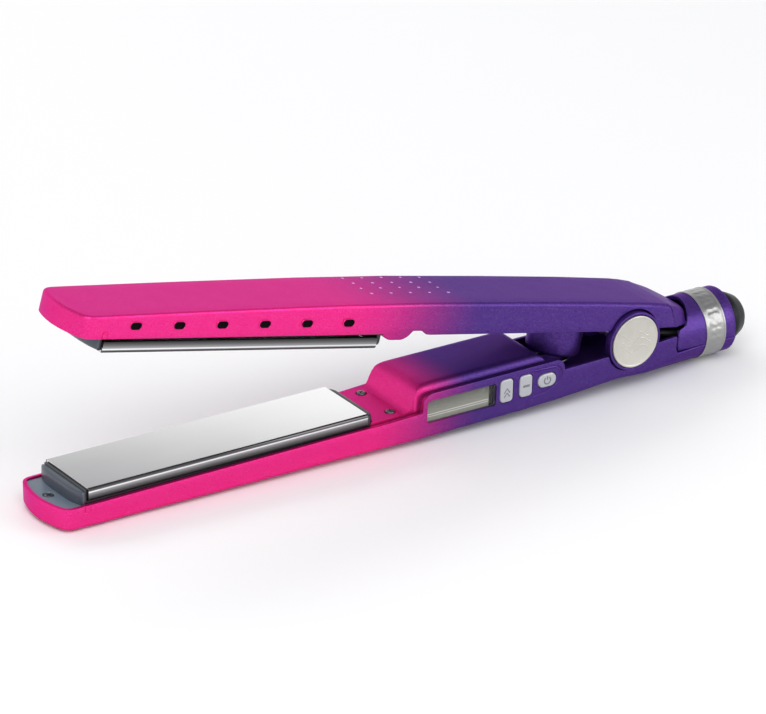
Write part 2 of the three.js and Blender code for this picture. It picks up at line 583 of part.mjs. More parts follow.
function rearCover() {
  const radius = TAIL.radius;
  const sleeve = rodX(radius, 272, TAIL.end, 0, TAIL.z, 30);
  const room = rodX(radius - TAIL.wall - 0.4, 250, TAIL.end - 2.6, 0, TAIL.z, 30);
  const upperPart = block(250, 330, -20, 20, TAIL_SPLIT + GAP / 2, 20);
  const front = new THREE.Shape();
  front.absellipse(REAR_BOW.x, 0, COVER_BOW.length, COVER_BOW.half, 0, 2 * Math.PI, false, 0);
  const swept = [0.2, 0.4, 0.6, 0.8, 1].map((part) => opened(rearEnvelope(0.6, 4, 30), part));
  const boss = rodZ(3, -9.5, 5.6, TAIL_SCREW.x, 0).intersect(sleeve);
  const tools = join(
    alongZ(front, -30, 0.8, 12), ...swept,
    rodX(8.6, 300, 312, 0, TAIL.z, 24),
    rodZ(SCREW.bore, -12, 3, TAIL_SCREW.x, 0));
  return cut(sleeve, room).add(boss).intersect(upperPart).subtract(tools).subtract(bandGroove());
}

function swivelGland() {
  return turnedX([[3.3, 293], [5.2, 293], [5.2, 301.2], [10.6, 301.2], [10.6, 305.4],
    [8.3, 305.4], [8.3, 308.8], [11.9, 308.8], [12, 310.5], [11.2, 314], [9.2, 317.4],
    [6.4, 319.6], [4.4, 320.2], [3.3, 320.2], [3.3, 293]], TAIL.z);
}

function contactRing(x0, x1) {
  return rodX(6.4, x0, x1, 0, TAIL.z).subtract(rodX(5.5, x0 - 1, x1 + 1, 0, TAIL.z));
}

function tailBand() {
  return rodX(BAND.radius, BAND.x0, BAND.x1, 0, TAIL.z, 30).subtract(
    rodX(TAIL.radius - 0.3, BAND.x0 - 1, BAND.x1 + 1, 0, TAIL.z, 30));
}

function pushButton(button) {
  const cap = alongY(buttonOutline(button, 0), -18.3, -15.2, 4);
  const flange = alongY(buttonOutline(button, 0.8), -15.6, -14.8, 2);
  return cap.add(flange);
}

function tactSwitch(button) {
  const x = (button.x0 + button.x1) / 2;
  const z = (button.z0 + button.z1) / 2;
  return block(x - 1.6, x + 1.6, -13.4, -12.3, z - 1.6, z + 1.6).add(
    rodY(0.9, -13.8, -13.2, x, z, 12));
}

function controlBoard() {
  return block(BOARD.x0, BOARD.x1, BOARD.y0, BOARD.y1, BOARD.z0, BOARD.z1);
}

function lcdModule() {
  return block(154, 184.6, -15.5, -12.3, -10.2, 0.2);
}

// ---- assembly -----------------------------------------------------------------------

const lower = new THREE.Group();
const upper = new THREE.Group();
place(lower, 'lower_shell', lowerShell(), COLOUR.pink, 0.25, 0.3);
place(lower, 'lower_inner_cover', lowerInnerCover(), COLOUR.purple, 0.3, 0.3);
place(lower, 'rear_cover', rearCover(), COLOUR.purple, 0.25, 0.3);
place(lower, 'tail_band', tailBand(), COLOUR.chrome, 0.15, 1);
place(lower, 'swivel_gland', swivelGland(), COLOUR.black, 0.35);
place(lower, 'contact_ring_live', contactRing(294, 296), COLOUR.brass, 0.3, 1);
place(lower, 'contact_ring_neutral', contactRing(297.5, 299.5), COLOUR.brass, 0.3, 1);
place(lower, 'brush_block', block(293.6, 300, -5, 5, -17.4, TAIL.z - 6.8), COLOUR.black, 0.6);
place(lower, 'control_board', controlBoard(), COLOUR.board, 0.5);
place(lower, 'lcd_module', lcdModule(), COLOUR.glass, 0.3);
place(lower, 'display_window', alongY(displayOutline(-GAP), -17.7, -15.8), COLOUR.glass, 0.1);
BUTTONS.forEach((button) => {
  place(lower, button.name, pushButton(button), COLOUR.silver, 0.35, 0.6);
  place(lower, `${button.name}_switch`, tactSwitch(button), COLOUR.black, 0.5);
});
place(lower, 'hinge_pin_left', hingePin(-1), COLOUR.steel, 0.3, 1);
place(lower, 'hinge_pin_right', hingePin(1), COLOUR.steel, 0.3, 1);
place(lower, 'hinge_cap_left', hingeCap(-1), COLOUR.chrome, 0.35, 1);
place(lower, 'hinge_cap_right', hingeCap(1), COLOUR.chrome, 0.35, 1);
place(lower, 'arm_spring', armSpring(), COLOUR.steel, 0.3, 1);
heatedCassette(lower, 'lower', COLOUR.ceramic);
place(lower, 'lower_tip_screw', screw(TIP_SCREW_X, 0, -TIP_SCREW_HEAD, 6.5), COLOUR.steel, 0.3, 1);
place(lower, 'lower_cover_screw_left',
  screw(COVER_SCREW.lowerX, -COVER_SCREW.y, COVER_SCREW.lowerHeadZ, 9), COLOUR.steel, 0.3, 1);
place(lower, 'lower_cover_screw_right',
  screw(COVER_SCREW.lowerX, COVER_SCREW.y, COVER_SCREW.lowerHeadZ, 9), COLOUR.steel, 0.3, 1);
place(lower, 'tail_screw', screw(TAIL_SCREW.x, 0, TAIL_SCREW.headZ, 14, -1), COLOUR.steel, 0.3, 1);
const loom = (points, steps) => tube(points, 1.1, steps, 8);
place(lower, 'mains_loom', loom([[292, -7, -6.8], [284, -7.4, -5], [272, -5, -3],
  [263, -1.2, 0], [258, 0, 1.8], [254.1, 0, 2.1]], 14), COLOUR.black, 0.6);
place(lower, 'board_loom', loom([[292, 7, -12.4], [280, 7, -12], [262, 6, -11.1],
  [240, 3, -11.1], [222, -2, -12], [209, -6, -11.6], [202, -8.4, -8],
  [200, -8.6, -6]], 14), COLOUR.black, 0.6);
place(lower, 'heater_loom', loom([[196, -9, -7], [185, -6, -11], [160, 1, -12], [136, 2, -11.6],
  [122, 5, -11], [114.4, 7.6, -9.6], [113, 8, -6.2]], 14), COLOUR.black, 0.6);

const upperArm = new THREE.Group();
place(upper, 'upper_shell', upperShell(), COLOUR.pink, 0.25, 0.3);
place(upper, 'upper_inner_cover', upperInnerCover(), COLOUR.purple, 0.3, 0.3);
place(upper, 'hinge_bush_left', hingeBush(-1), COLOUR.silver, 0.5);
place(upper, 'hinge_bush_right', hingeBush(1), COLOUR.silver, 0.5);
const upperCassette = new THREE.Group();
heatedCassette(upperCassette, 'upper', COLOUR.ceramic);
upperCassette.rotation.x = Math.PI;
upper.add(upperCassette);
place(upper, 'upper_tip_screw', screw(TIP_SCREW_X, 0, TIP_SCREW_HEAD, 6.5, -1), COLOUR.steel, 0.3, 1);
place(upper, 'upper_cover_screw_left',
  screw(COVER_SCREW.upperX, -COVER_SCREW.y, COVER_SCREW.upperHeadZ, 9, -1), COLOUR.steel, 0.3, 1);
place(upper, 'upper_cover_screw_right',
  screw(COVER_SCREW.upperX, COVER_SCREW.y, COVER_SCREW.upperHeadZ, 9, -1), COLOUR.steel, 0.3, 1);
place(upper, 'upper_loom', loom([[253.4, 0, 2.1], [250, 0, 2.4], [246.4, 0, 5], [245.4, 0, 9],
  [240, 0, 12], [226, 0, 12.6], [190, 0, 12.4], [150, -2, 12.4], [124, -6, 12.2],
  [114.6, -7.8, 10.6], [113, -8, 6.2]], 22), COLOUR.black, 0.6);
upper.position.set(-HINGE.x, 0, -HINGE.z);
upperArm.add(upper);
upperArm.position.set(HINGE.x, 0, HINGE.z);
upperArm.rotation.y = THREE.MathUtils.degToRad(OPEN_ANGLE);

const iron = new THREE.Group();
iron.add(lower, upperArm);
iron.rotation.y = THREE.MathUtils.degToRad(-STAND_TILT);

const group = new THREE.Group();
group.add(iron);
group.updateMatrixWorld(true);
const box = new THREE.Box3().setFromObject(group, true);
iron.position.set(-(box.min.x + box.max.x) / 2, -(box.min.y + box.max.y) / 2, -box.min.z);
group.updateMatrixWorld(true);

export default group;
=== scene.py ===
"""Flat iron with two spring-opened arms: the visible casings, plates, covers and controls.

Every piece is drawn in millimetres in its own arm's frame, where x = 0 is the front end of the
heated plates and z = 0 is the plane in which the two plates meet, and is then set on its arm.
"""

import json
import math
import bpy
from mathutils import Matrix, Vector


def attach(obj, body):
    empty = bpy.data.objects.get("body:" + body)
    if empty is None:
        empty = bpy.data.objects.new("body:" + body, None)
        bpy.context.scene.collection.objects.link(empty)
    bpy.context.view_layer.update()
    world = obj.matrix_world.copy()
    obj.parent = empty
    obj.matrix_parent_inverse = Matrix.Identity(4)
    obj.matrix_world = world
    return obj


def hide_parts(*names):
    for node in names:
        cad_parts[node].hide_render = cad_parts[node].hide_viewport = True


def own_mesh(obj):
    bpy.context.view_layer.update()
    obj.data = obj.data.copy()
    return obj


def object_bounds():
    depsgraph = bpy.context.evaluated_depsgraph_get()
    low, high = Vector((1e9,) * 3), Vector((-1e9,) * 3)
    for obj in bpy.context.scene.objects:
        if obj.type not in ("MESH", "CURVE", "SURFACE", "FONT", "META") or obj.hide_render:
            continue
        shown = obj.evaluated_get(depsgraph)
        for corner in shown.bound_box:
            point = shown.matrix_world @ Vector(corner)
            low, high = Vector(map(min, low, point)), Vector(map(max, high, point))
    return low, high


bl_info = {
    "name": "Flat iron",
    "version": (1, 0, 0),
    "blender": (4, 5, 0),
    "location": "3D View > Sidebar > Flat iron",
    "description": "Builds the casings, plates, covers, controls and stage of a flat iron",
    "category": "Object",
}

from functools import partial

import bmesh
import bpy
from bpy.props import FloatProperty, FloatVectorProperty, PointerProperty
from mathutils import Matrix, Vector

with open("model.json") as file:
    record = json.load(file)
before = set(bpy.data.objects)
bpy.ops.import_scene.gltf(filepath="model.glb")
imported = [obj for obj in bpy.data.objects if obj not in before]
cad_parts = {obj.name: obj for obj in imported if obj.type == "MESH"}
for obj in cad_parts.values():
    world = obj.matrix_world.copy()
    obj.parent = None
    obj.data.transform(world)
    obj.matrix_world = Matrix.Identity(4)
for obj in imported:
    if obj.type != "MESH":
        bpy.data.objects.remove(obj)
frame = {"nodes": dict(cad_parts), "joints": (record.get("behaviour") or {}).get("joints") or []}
CAD_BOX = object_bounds()

MM = 0.001
JOINTS = {joint["name"]: joint for joint in frame["joints"]}

# ---- sizes shared with the frame, in millimetres ---------------------------------------

HINGE_X, HINGE_Z = 253.8, 2.1
ARM_HALF = 17.3
WALL = 1.5
RIM_EDGE = 0.35
GAP = 0.3
NOSE_X = -14.0
PLATE_LENGTH = 127.0
PLATE_HALF = 15.6
PLATE_DEPTH = 4.6
HOLDER_HALF = 14.8
HOLDER_FOOT = -7.6
PAD_FOOT = -6.6
PADS = {"front": (5.0, 13.0), "rear": (119.2, 122.6)}
TAIL_Z = -6.8
TAIL_RADIUS = 13.5
TAIL_SPLIT = -10.0
TAIL_END = 308.4
TAIL_HOLE = 8.6
TAIL_WALL = 2.6
BAND_START, BAND_END = 293.3, 303.0
EAR_RADIUS = 12.4
EAR_ROOM = 12.9
EAR_FACE = 17.9
CAP_FACE = 18.3
CAP_RADIUS = 11.05
COVER_HALF = 14.9
COVER_START, COVER_HOLD = 128.4, 146.0
COVER_SKIRT = -9.4
POD_START, POD_END = 150.2, 221.0
EAR_START, EAR_END = 224.0, 279.5
REAR_X = 262.0
REAR_LEAN, LEAN_FROM = -0.47, 5.0
CUP_X = 227.0
POD_TOP = 2.9
NOTCH_FACE, NOTCH_DEPTH = 16.9, 0.42
REAR_CAP_END, REAR_CAP_FLAT = 130.6, 10.0
TONGUE_FACE, TONGUE_SEAT, TONGUE_BACK, TONGUE_HALF = 6.9, 8.4, 9.7, 14.6
TIP_SCREW_X, TIP_SCREW_Z = -8.2, 7.1
LOWER_COVER_SCREW_X, UPPER_COVER_SCREW_X, COVER_SCREW_Y = 141.0, 137.5, 10.0
TAIL_SCREW_X = 287.5
SCREW_HEAD = 1.9
VENTS = {"count": 6, "first": 12.2, "pitch": 19.72, "z": 11.4, "length": 5.2, "height": 3.0}
DISPLAY = (153.6, -9.8, 186.4, -0.2)
DISPLAY_CORNER = 1.2
DISPLAY_STRIP_X = 184.3
BUTTON_FACE = -18.2
BUTTONS = {
    "button_up": (188.2, -9.4, 194.3, 0.5, 1.8),
    "button_down": (197.5, -9.2, 203.6, 0.2, 1.8),
    "button_power": (206.4, -7.4, 215.2, -1.6, 2.85),
}

# Each row: x, half width at the rim, half width at the foot, depth from the contact plane, fillet.
LOWER_STATIONS = [
    (-16, 17.3, 16.7, 15.6, 1.4), (20, 17.3, 16.5, 15.9, 1.7), (110, 17.3, 16.5, 16.4, 2.0),
    (151, 17.9, 17.5, 16.4, 2.0), (200, 17.9, 17.5, 15.9, 2.4), (219, 17.8, 17.3, 15.4, 2.6),
    (232, 17.5, 16.8, 14.9, 2.8), (248, 17.3, 16.2, 14.2, 2.6), (262, 16.9, 16.2, 15.6, 4.0),
    (275, 15.2, 15.0, 17.9, 9.0), (284, 14.0, 14.0, 19.5, 12.0), (292, 13.5, 13.5, 20.3, 13.4),
    (312, 13.5, 13.5, 20.3, 13.4),
]
UPPER_STATIONS = [
    (-16, 17.3, 16.7, 15.0, 1.4), (27, 17.3, 16.6, 16.3, 1.4), (60, 17.3, 16.5, 17.2, 1.4),
    (105, 17.3, 16.4, 18.3, 1.5), (148, 17.3, 16.3, 18.8, 1.6), (196, 17.3, 16.1, 18.5, 1.8),
    (233, 17.2, 15.9, 18.0, 1.9), (262, 17.0, 15.5, 17.2, 1.8), (271, 16.8, 15.2, 16.3, 2.2),
    (279, 16.6, 15.0, 14.6, 2.6), (290, 16.4, 14.8, 11.4, 2.6),
]

# Each row: x, z of the casing's rim.
LOWER_RIM = [(-20, -6.6), (134, -5.5), (149, -4.9), (222, -2.1), (276.6, -1.9)]
UPPER_RIM = [(-20, 6.2), (124, 6.5), (135.6, 6.6), (136.6, 6.8), (138.6, 7.5), (140, 7.6),
             (146.4, 7.6), (147.6, 7.3), (149.4, 6.1), (151, 5.9), (243, 6.0), (266, 7.0),
             (300, 7.6)]


# ---- drawing in the arms' frames -------------------------------------------------------

def arm_matrix(turn):
    """Matrix from an arm's own frame to the row frame, the arm turned about the hinge."""
    hinge = Vector(JOINTS["arm_hinge"]["pos_m"])
    return (Matrix.Translation(hinge) @ Matrix.Rotation(turn, 4, "Y")
            @ Matrix.Translation((-HINGE_X * MM, 0.0, -HINGE_Z * MM)))


SWIVEL = Vector(JOINTS["cord_swivel"]["axis"])
TILT = math.atan2(SWIVEL.z, SWIVEL.x)
OPENING = math.radians(JOINTS["arm_hinge"]["range_deg"][1])
LOWER = arm_matrix(-TILT)
UPPER = arm_matrix(OPENING - TILT)
FLIP = Matrix.Rotation(math.pi, 4, "X")


def along(table, x, column=1):
    """The table's value at x, straight between its rows."""
    if x <= table[0][0]:
        return table[0][column]
    for low, high in zip(table, table[1:]):
        if x <= high[0]:
            share = (x - low[0]) / (high[0] - low[0])
            return low[column] + (high[column] - low[column]) * share
    return table[-1][column]


def ease(value):
    """0 below 0, 1 above 1 and a soft S between."""
    value = min(max(value, 0.0), 1.0)
    return value * value * (3 - 2 * value)


def arc(cx, cy, radius, start, end, steps):
    """Points on a circle, the angles in degrees."""
    return [(cx + radius * math.cos(math.radians(start + (end - start) * i / steps)),
             cy + radius * math.sin(math.radians(start + (end - start) * i / steps)))
            for i in range(steps + 1)]


def curve(start, control, end, steps):
    """Points on a quadratic curve."""
    return [tuple((1 - t) ** 2 * a + 2 * t * (1 - t) * b + t * t * c
                  for a, b, c in zip(start, control, end))
            for t in (i / steps for i in range(steps + 1))]


def softened(points, radius, steps=4):
    """An open path with each corner drawn as a short curve."""
    path = [points[0]]
    for before, corner, after in zip(points, points[1:], points[2:]):
        back, ahead = Vector(before) - Vector(corner), Vector(after) - Vector(corner)
        reach = min(radius, 0.45 * back.length, 0.45 * ahead.length)
        start = Vector(corner) + back.normalized() * reach
        end = Vector(corner) + ahead.normalized() * reach
        path += curve(tuple(start), corner, tuple(end), steps)
    return path + [points[-1]]


def pill(x0, z0, x1, z1, radius, steps=6):
    """A closed rounded rectangle, anticlockwise."""
    radius = min(radius, (x1 - x0) / 2 - 0.01, (z1 - z0) / 2 - 0.01)
    return (arc(x1 - radius, z1 - radius, radius, 0, 90, steps)
            + arc(x0 + radius, z1 - radius, radius, 90, 180, steps)
            + arc(x0 + radius, z0 + radius, radius, 180, 270, steps)
            + arc(x1 - radius, z0 + radius, radius, 270, 360, steps))


def grown(x0, b0, x1, b1, radius, steps=3, swell=False):
    """A rounded rectangle as a function of how far it has grown, its corners too with swell."""
    def outline(grow):
        corner = max(radius + grow, 0.3) if swell else radius
        return pill(x0 - grow, b0 - grow, x1 + grow, b1 + grow, corner, steps)
    return outline


def bowed(y, reach, half):
    """x of an elliptical rear end at y, from how far it reaches behind REAR_X and its half."""
    return REAR_X + reach * math.sqrt(max(1 - (y / half) ** 2, 0.0))


def loft(rings, caps=(True, True)):
    """Quads between successive closed rings, with a face over each end that caps asks for."""
    count = len(rings[0])
    points = [point for ring in rings for point in ring]
    faces = [(r * count + i, r * count + (i + 1) % count,
              (r + 1) * count + (i + 1) % count, (r + 1) * count + i)
             for r in range(len(rings) - 1) for i in range(count)]
    if caps[0]:
        faces.append(tuple(reversed(range(count))))
    if caps[1]:
        faces.append(tuple(range((len(rings) - 1) * count, len(rings) * count)))
    return points, faces


def sheet(rows):
    """Quads between successive open rows of points."""
    count = len(rows[0])
    points = [point for row in rows for point in row]
    return points, [(r * count + i, r * count + i + 1,
                     (r + 1) * count + i + 1, (r + 1) * count + i)
                    for r in range(len(rows) - 1) for i in range(count - 1)]


def joined(*parts):
    """Several drawings as one."""
    points, faces = [], []
    for part_points, part_faces in parts:
        base = len(points)
        points += part_points
        faces += [tuple(base + i for i in face) for face in part_faces]
    return points, faces


def turned(profile, axis, centre, sides=64, closed=False):
    """A profile of (radius, height) turned about a line through centre along the axis."""
    rings = []
    for k in range(sides):
        angle = 2 * math.pi * k / sides
        ring = []
        for radius, height in profile:
            across, up = radius * math.cos(angle), radius * math.sin(angle)
            if axis == "X":
                ring.append((centre[0] + height, centre[1] + across, centre[2] + up))
            elif axis == "Y":
                ring.append((centre[0] + across, centre[1] + height, centre[2] + up))
            else:
                ring.append((centre[0] + across, centre[1] + up, centre[2] + height))
        rings.append(ring)
    rings.append(rings[0])
    return loft(rings, (False, False)) if closed else sheet(rings)


def hinged(profile, side, sides, closed=False):
    """A profile of (radius, distance from the middle) turned about the hinge, on one side."""
    return turned([(radius, side * far) for radius, far in profile], "Y",
                  (HINGE_X, 0, HINGE_Z), sides, closed)


def raised(outline, levels, axis="Z"):
    """A closed form whose outline is redrawn by outline(grow) at each (grow, height)."""
    rings = []
    for grow, height in levels:
        if axis == "Y":
            rings.append([(a, height, b) for a, b in outline(grow)])
        elif axis == "Z":
            rings.append([(a, b, height) for a, b in outline(grow)])
        else:
            rings.append([(height, a, b) for a, b in outline(grow)])
    return loft(rings)


def tube(path, radius, sides=8):
    """A closed round tube along the points."""
    rings = []
    side = None
    for k, here in enumerate(path):
        ahead = Vector(path[min(k + 1, len(path) - 1)]) - Vector(path[max(k - 1, 0)])
        ahead.normalize()
        if side is None:
            side = ahead.orthogonal().normalized()
        side = (side - ahead * side.dot(ahead)).normalized()
        other = ahead.cross(side)
        rings.append([tuple(Vector(here) + radius * (side * math.cos(a) + other * math.sin(a)))
                      for a in (2 * math.pi * i / sides for i in range(sides))])
    return loft(rings)


def mesh_of(name, drawing, crease=32):
    """A mesh in metres from a drawing in millimetres, shaded smooth up to the crease angle."""
    points, faces = drawing
    mesh = bpy.data.meshes.new(name)
    mesh.from_pydata([Vector(point) * MM for point in points], [], faces)
    tidy_mesh(mesh, crease)
    return mesh


def tidy_mesh(mesh, crease):
    """Welds doubled points, drops faces with no area, faces outward and marks sharp edges."""
    work = bmesh.new()
    work.from_mesh(mesh)
    bmesh.ops.remove_doubles(work, verts=work.verts, dist=1e-6)
    bmesh.ops.dissolve_degenerate(work, edges=work.edges, dist=1e-6)
    loose = [vert for vert in work.verts if not vert.link_faces]
    bmesh.ops.delete(work, geom=loose, context="VERTS")
    bmesh.ops.recalc_face_normals(work, faces=work.faces)
    for face in work.faces:
        face.smooth = True
    work.to_mesh(mesh)
    work.free()
    mesh.set_sharp_from_angle(angle=math.radians(crease))


def piece(name, drawing, matrix, finish, body, stands_for=(), crease=32):
    """A finished object on its body, its mesh set in the row frame by the matrix."""
    mesh = drawing if isinstance(drawing, bpy.types.Mesh) else mesh_of(name, drawing, crease)
    mesh.name = name
    mesh.transform(matrix)
    mesh.materials.clear()
    mesh.materials.append(finish)
    made = bpy.data.objects.new(name, mesh)
    bpy.context.scene.collection.objects.link(made)
    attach(made, body)
    if stands_for:
        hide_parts(*stands_for)
    return made


def modified(mesh, kind, settings, crease):
    """What one modifier makes of a mesh."""
    blank = bpy.data.objects.new("blank", mesh)
    bpy.context.scene.collection.objects.link(blank)
    modifier = blank.modifiers.new("change", kind)
    for key, value in settings.items():
        setattr(modifier, key, value)
    bpy.context.view_layer.update()
    graph = bpy.context.evaluated_depsgraph_get()
    final = bpy.data.meshes.new_from_object(blank.evaluated_get(graph), depsgraph=graph)
    bpy.data.objects.remove(blank)
    tidy_mesh(final, crease)
    return final


def carved(mesh, tools, crease=32):
    """A mesh with a drawing of closed tools cut out of it."""
    cutter = bpy.data.objects.new("cutter", mesh_of("cutter", tools))
    bpy.context.scene.collection.objects.link(cutter)
    final = modified(mesh, "BOOLEAN",
                     {"operation": "DIFFERENCE", "solver": "EXACT", "object": cutter}, crease)
    bpy.data.objects.remove(cutter)
    if len(final.polygons) == len(mesh.polygons):
        raise RuntimeError(f"nothing was cut out of {mesh.name}")
    return final


# ---- finishes --------------------------------------------------------------------------

class Signal:
    """A node's output that takes part in sums like a number, adding its Math nodes."""

    def __init__(self, finish, socket):
        self.finish, self.socket = finish, socket

    def maths(self, operation, first, second=0.0):
        """One Math node."""
        return self.finish.node("ShaderNodeMath", {"operation": operation}, {0: first, 1: second})

    def __add__(self, other):
        return self.maths("ADD", self, other)

    def __sub__(self, other):
        return self.maths("SUBTRACT", self, other)

    def __rsub__(self, other):
        return self.maths("SUBTRACT", other, self)

    def __mul__(self, other):
        return self.maths("MULTIPLY", self, other)

    def __truediv__(self, other):
        return self.maths("DIVIDE", self, other)

    def __rtruediv__(self, other):
        return self.maths("DIVIDE", other, self)

    def __lt__(self, other):
        return self.maths("LESS_THAN", self, other)

    def __gt__(self, other):
        return self.maths("GREATER_THAN", self, other)

    def __abs__(self):
        return self.maths("ABSOLUTE", self)

    __radd__ = __add__
    __rmul__ = __mul__

    def highest(self, other):
        """The larger of two values."""
        return self.maths("MAXIMUM", self, other)

    def fade(self, start, end):
        """0 at start, 1 at end and a soft S between."""
        return self.finish.node("ShaderNodeMapRange", {"interpolation_type": "SMOOTHSTEP"},
                                {0: self, 1: start, 2: end, 3: 0.0, 4: 1.0})


class Finish:
    """A procedural material round one Principled shader."""

    def __init__(self, name, arm=None):
        self.arm = arm
        self.material = bpy.data.materials.new(name)
        self.material.use_nodes = True
        self.tree = self.material.node_tree
        self.tree.nodes.clear()
        self.shader = self.tree.nodes.new("ShaderNodeBsdfPrincipled")
        output = self.tree.nodes.new("ShaderNodeOutputMaterial")
        self.tree.links.new(self.shader.outputs[0], output.inputs["Surface"])

    @classmethod
    def over(cls, tree):
        """The same tools on the nodes of something other than a material."""
        tools = cls.__new__(cls)
        tools.arm, tools.tree = None, tree
        return tools

    def fill(self, node, inputs):
        """Links or sets a node's sockets."""
        for key, value in inputs.items():
            if isinstance(value, Signal):
                self.tree.links.new(value.socket, node.inputs[key])
            else:
                node.inputs[key].default_value = value

    def node(self, kind, settings, inputs, out=0):
        """Any node: its type, its settings, its sockets' values or links, and which output."""
        made = self.tree.nodes.new(kind)
        for key, value in settings.items():
            if key == "stops":
                ramp = made.color_ramp.elements
                while len(ramp) < len(value):
                    ramp.new(1.0)
                for element, (position, shade) in zip(ramp, value):
                    element.position, element.color = position, shade
            else:
                setattr(made, key, value)
        self.fill(made, inputs)
        return Signal(self, made.outputs[out])

    def surface(self, inputs):
        """Fills in the shader and gives the finished material."""
        self.fill(self.shader, inputs)
        return self.material

    def place(self, stretch=(1.0, 1.0, 1.0)):
        """The point in millimetres in the arm's or the row frame, stretched along its axes."""
        here = self.node("ShaderNodeTexCoord", {}, {}, "Object")
        if self.arm is not None:
            back = self.arm.inverted()
            here = self.node("ShaderNodeMapping", {}, {
                0: here, "Location": back.to_translation(), "Rotation": back.to_euler()})
        scale = tuple(s / MM for s in stretch)
        return self.node("ShaderNodeVectorMath", {"operation": "MULTIPLY"}, {0: here, 1: scale})

    def axis(self, name):
        """One coordinate in millimetres: X, Y or Z."""
        return self.node("ShaderNodeSeparateXYZ", {}, {0: self.place()}, name)

    def noise(self, size, detail=2.0, stretch=(1.0, 1.0, 1.0)):
        """Cloudy noise from 0 to 1 whose features are about size millimetres."""
        return self.node("ShaderNodeTexNoise", {},
                         {"Vector": self.place(stretch), "Scale": 1.0 / size, "Detail": detail})

    def mix(self, share, first, second, blend="MIX"):
        """A colour that goes from the first to the second as share goes from 0 to 1."""
        return self.node("ShaderNodeMix", {"data_type": "RGBA", "blend_type": blend},
                         {0: share, 6: first, 7: second}, 2)

    def relief(self, height, depth):
        """A normal from a height of 0 to 1 that stands for depth millimetres."""
        return self.node("ShaderNodeBump", {},
                         {"Height": height, "Distance": depth * MM, "Strength": 1.0})


def grey(value):
    """A grey with a trace of blue."""
    return (value, value, value * 1.02, 1.0)


def tint(colour, factor):
    """A colour made lighter or darker."""
    return tuple(min(c * factor, 1.0) for c in colour[:3]) + (1.0,)


def paint(name, arm, fade, rougher=0.0):
    """Metallic paint that fades from the front colour to the rear colour along the arm."""
    look = bpy.context.scene.flatiron_casing
    flake_size, drift_size, drift_reach, cloud_size = 0.16, 22.0, 7.0, 9.0
    flake_colour, cloud_colour = (1.0, 0.86, 0.96, 1.0), (0.6, 0.55, 0.7, 1.0)
    finish = Finish(name, arm)
    drift = (finish.noise(drift_size) - 0.5) * drift_reach
    share = (finish.axis("X") + drift).fade(*fade)
    base = finish.mix(share, look.front, look.rear)
    flake = finish.noise(flake_size, 1.0).fade(0.42, 0.72)
    cloud = finish.noise(cloud_size, 3.0)
    sparkle = finish.mix(flake * 0.22, base, finish.mix(0.5, base, flake_colour))
    shadow = finish.mix(1.0, base, cloud_colour, "MULTIPLY")
    return finish.surface({
        "Base Color": finish.mix(cloud * 0.16, sparkle, shadow),
        "Metallic": 0.78 + flake * 0.15,
        "Roughness": look.roughness + rougher + cloud * 0.06,
        "Coat Weight": 0.05,
        "Coat Roughness": 0.14,
        "Specular IOR Level": 0.1,
        "Specular Tint": (0.6, 0.42, 0.75, 1.0),
        "Normal": finish.relief(finish.noise(0.9, 2.0), 0.004),
    })


def moulded(name, colour, roughness, grain, depth, metallic=0.0, coat=0.0, spread=0.25,
            stretch=(1.0, 1.0, 1.0), specular=0.5):
    """A moulded, cast or plated material with a grain of that size in its colour and relief."""
    finish = Finish(name)
    fine = finish.noise(grain, 3.0, stretch)
    broad = finish.noise(grain * 14.0, 2.0)
    mottled = finish.mix(fine * spread, colour, tint(colour, 0.55))
    base = finish.mix(broad * spread, mottled, tint(colour, 1.35))
    return finish.surface({
        "Base Color": base,
        "Metallic": metallic,
        "Roughness": roughness + (broad - 0.5) * 0.12,
        "Coat Weight": coat,
        "Specular IOR Level": specular,
        "Normal": finish.relief(fine, depth),
    })


def mirror_plate(name, arm, colour, roughness):
    """Polished titanium with faint lengthwise wipe marks, a painted reflection that lightens the
    face towards the rear, and flanks painted with reflections: a dark line, a bright highlight
    band and painted shade that darkens downward.
    """
    finish = Finish(name, arm)
    wipes = finish.noise(0.5, 3.0, (0.03, 1.0, 1.0))
    broad = finish.noise(30.0, 2.0)
    # Painted reflection: the face goes from darker at the front to lighter towards the rear,
    # broken up by broad noise.
    painted_sheen = (finish.axis("X") + (broad - 0.5) * 30.0).fade(-30.0, 120.0)
    face = finish.mix(painted_sheen, tint(colour, 0.78), tint(colour, 1.04))
    # Painted reflection and shade on the rounded flanks: a dark line under the face, a bright
    # highlight band, then painted shade darkening to near black at the bottom.
    rise = (finish.axis("Z") + (PLATE_DEPTH + GAP / 2)) / PLATE_DEPTH
    painted_reflection_greys = ((0.0, 0.02), (0.30, 0.14), (0.55, 0.34), (0.64, 0.95), (0.70, 0.80), (0.75, 0.11),
              (1.0, 0.08))
    flank_painted_light = finish.node("ShaderNodeValToRGB",
                        {"stops": [(at, grey(value)) for at, value in painted_reflection_greys]}, {0: rise})
    side = abs(finish.axis("Y")) > PLATE_HALF - 0.8
    return finish.surface({
        "Base Color": finish.mix(side, face, flank_painted_light),
        "Metallic": 1.0,
        "Roughness": roughness + wipes * 0.05 + broad * 0.03,
        "Normal": finish.relief(wipes, 0.0015),
    })


def display_face(name, arm, colour, line_colour):
    """Grey-green liquid crystal glass with painted shade that darkens its top, two pale lines and
    a dark end.
    """
    finish = Finish(name, arm)
    z = finish.axis("Z")
    # Painted shade: the glass darkens towards its top.
    rise = z.fade(-10.0, 0.4)
    base = finish.mix(rise, tint(colour, 1.2), tint(colour, 0.4))
    lines = (abs(z + 7.2) < 0.17).highest(abs(z + 8.1) < 0.14)
    lined = finish.mix(lines * 0.75, base, line_colour)
    strip = finish.axis("X") > DISPLAY_STRIP_X
    return finish.surface({
        "Base Color": finish.mix(strip, lined, (0.006, 0.006, 0.008, 1.0)),
        "Metallic": 0.0,
        "Roughness": 0.22 + finish.noise(3.0) * 0.08,
        "Normal": finish.relief(finish.noise(0.4), 0.002),
    })


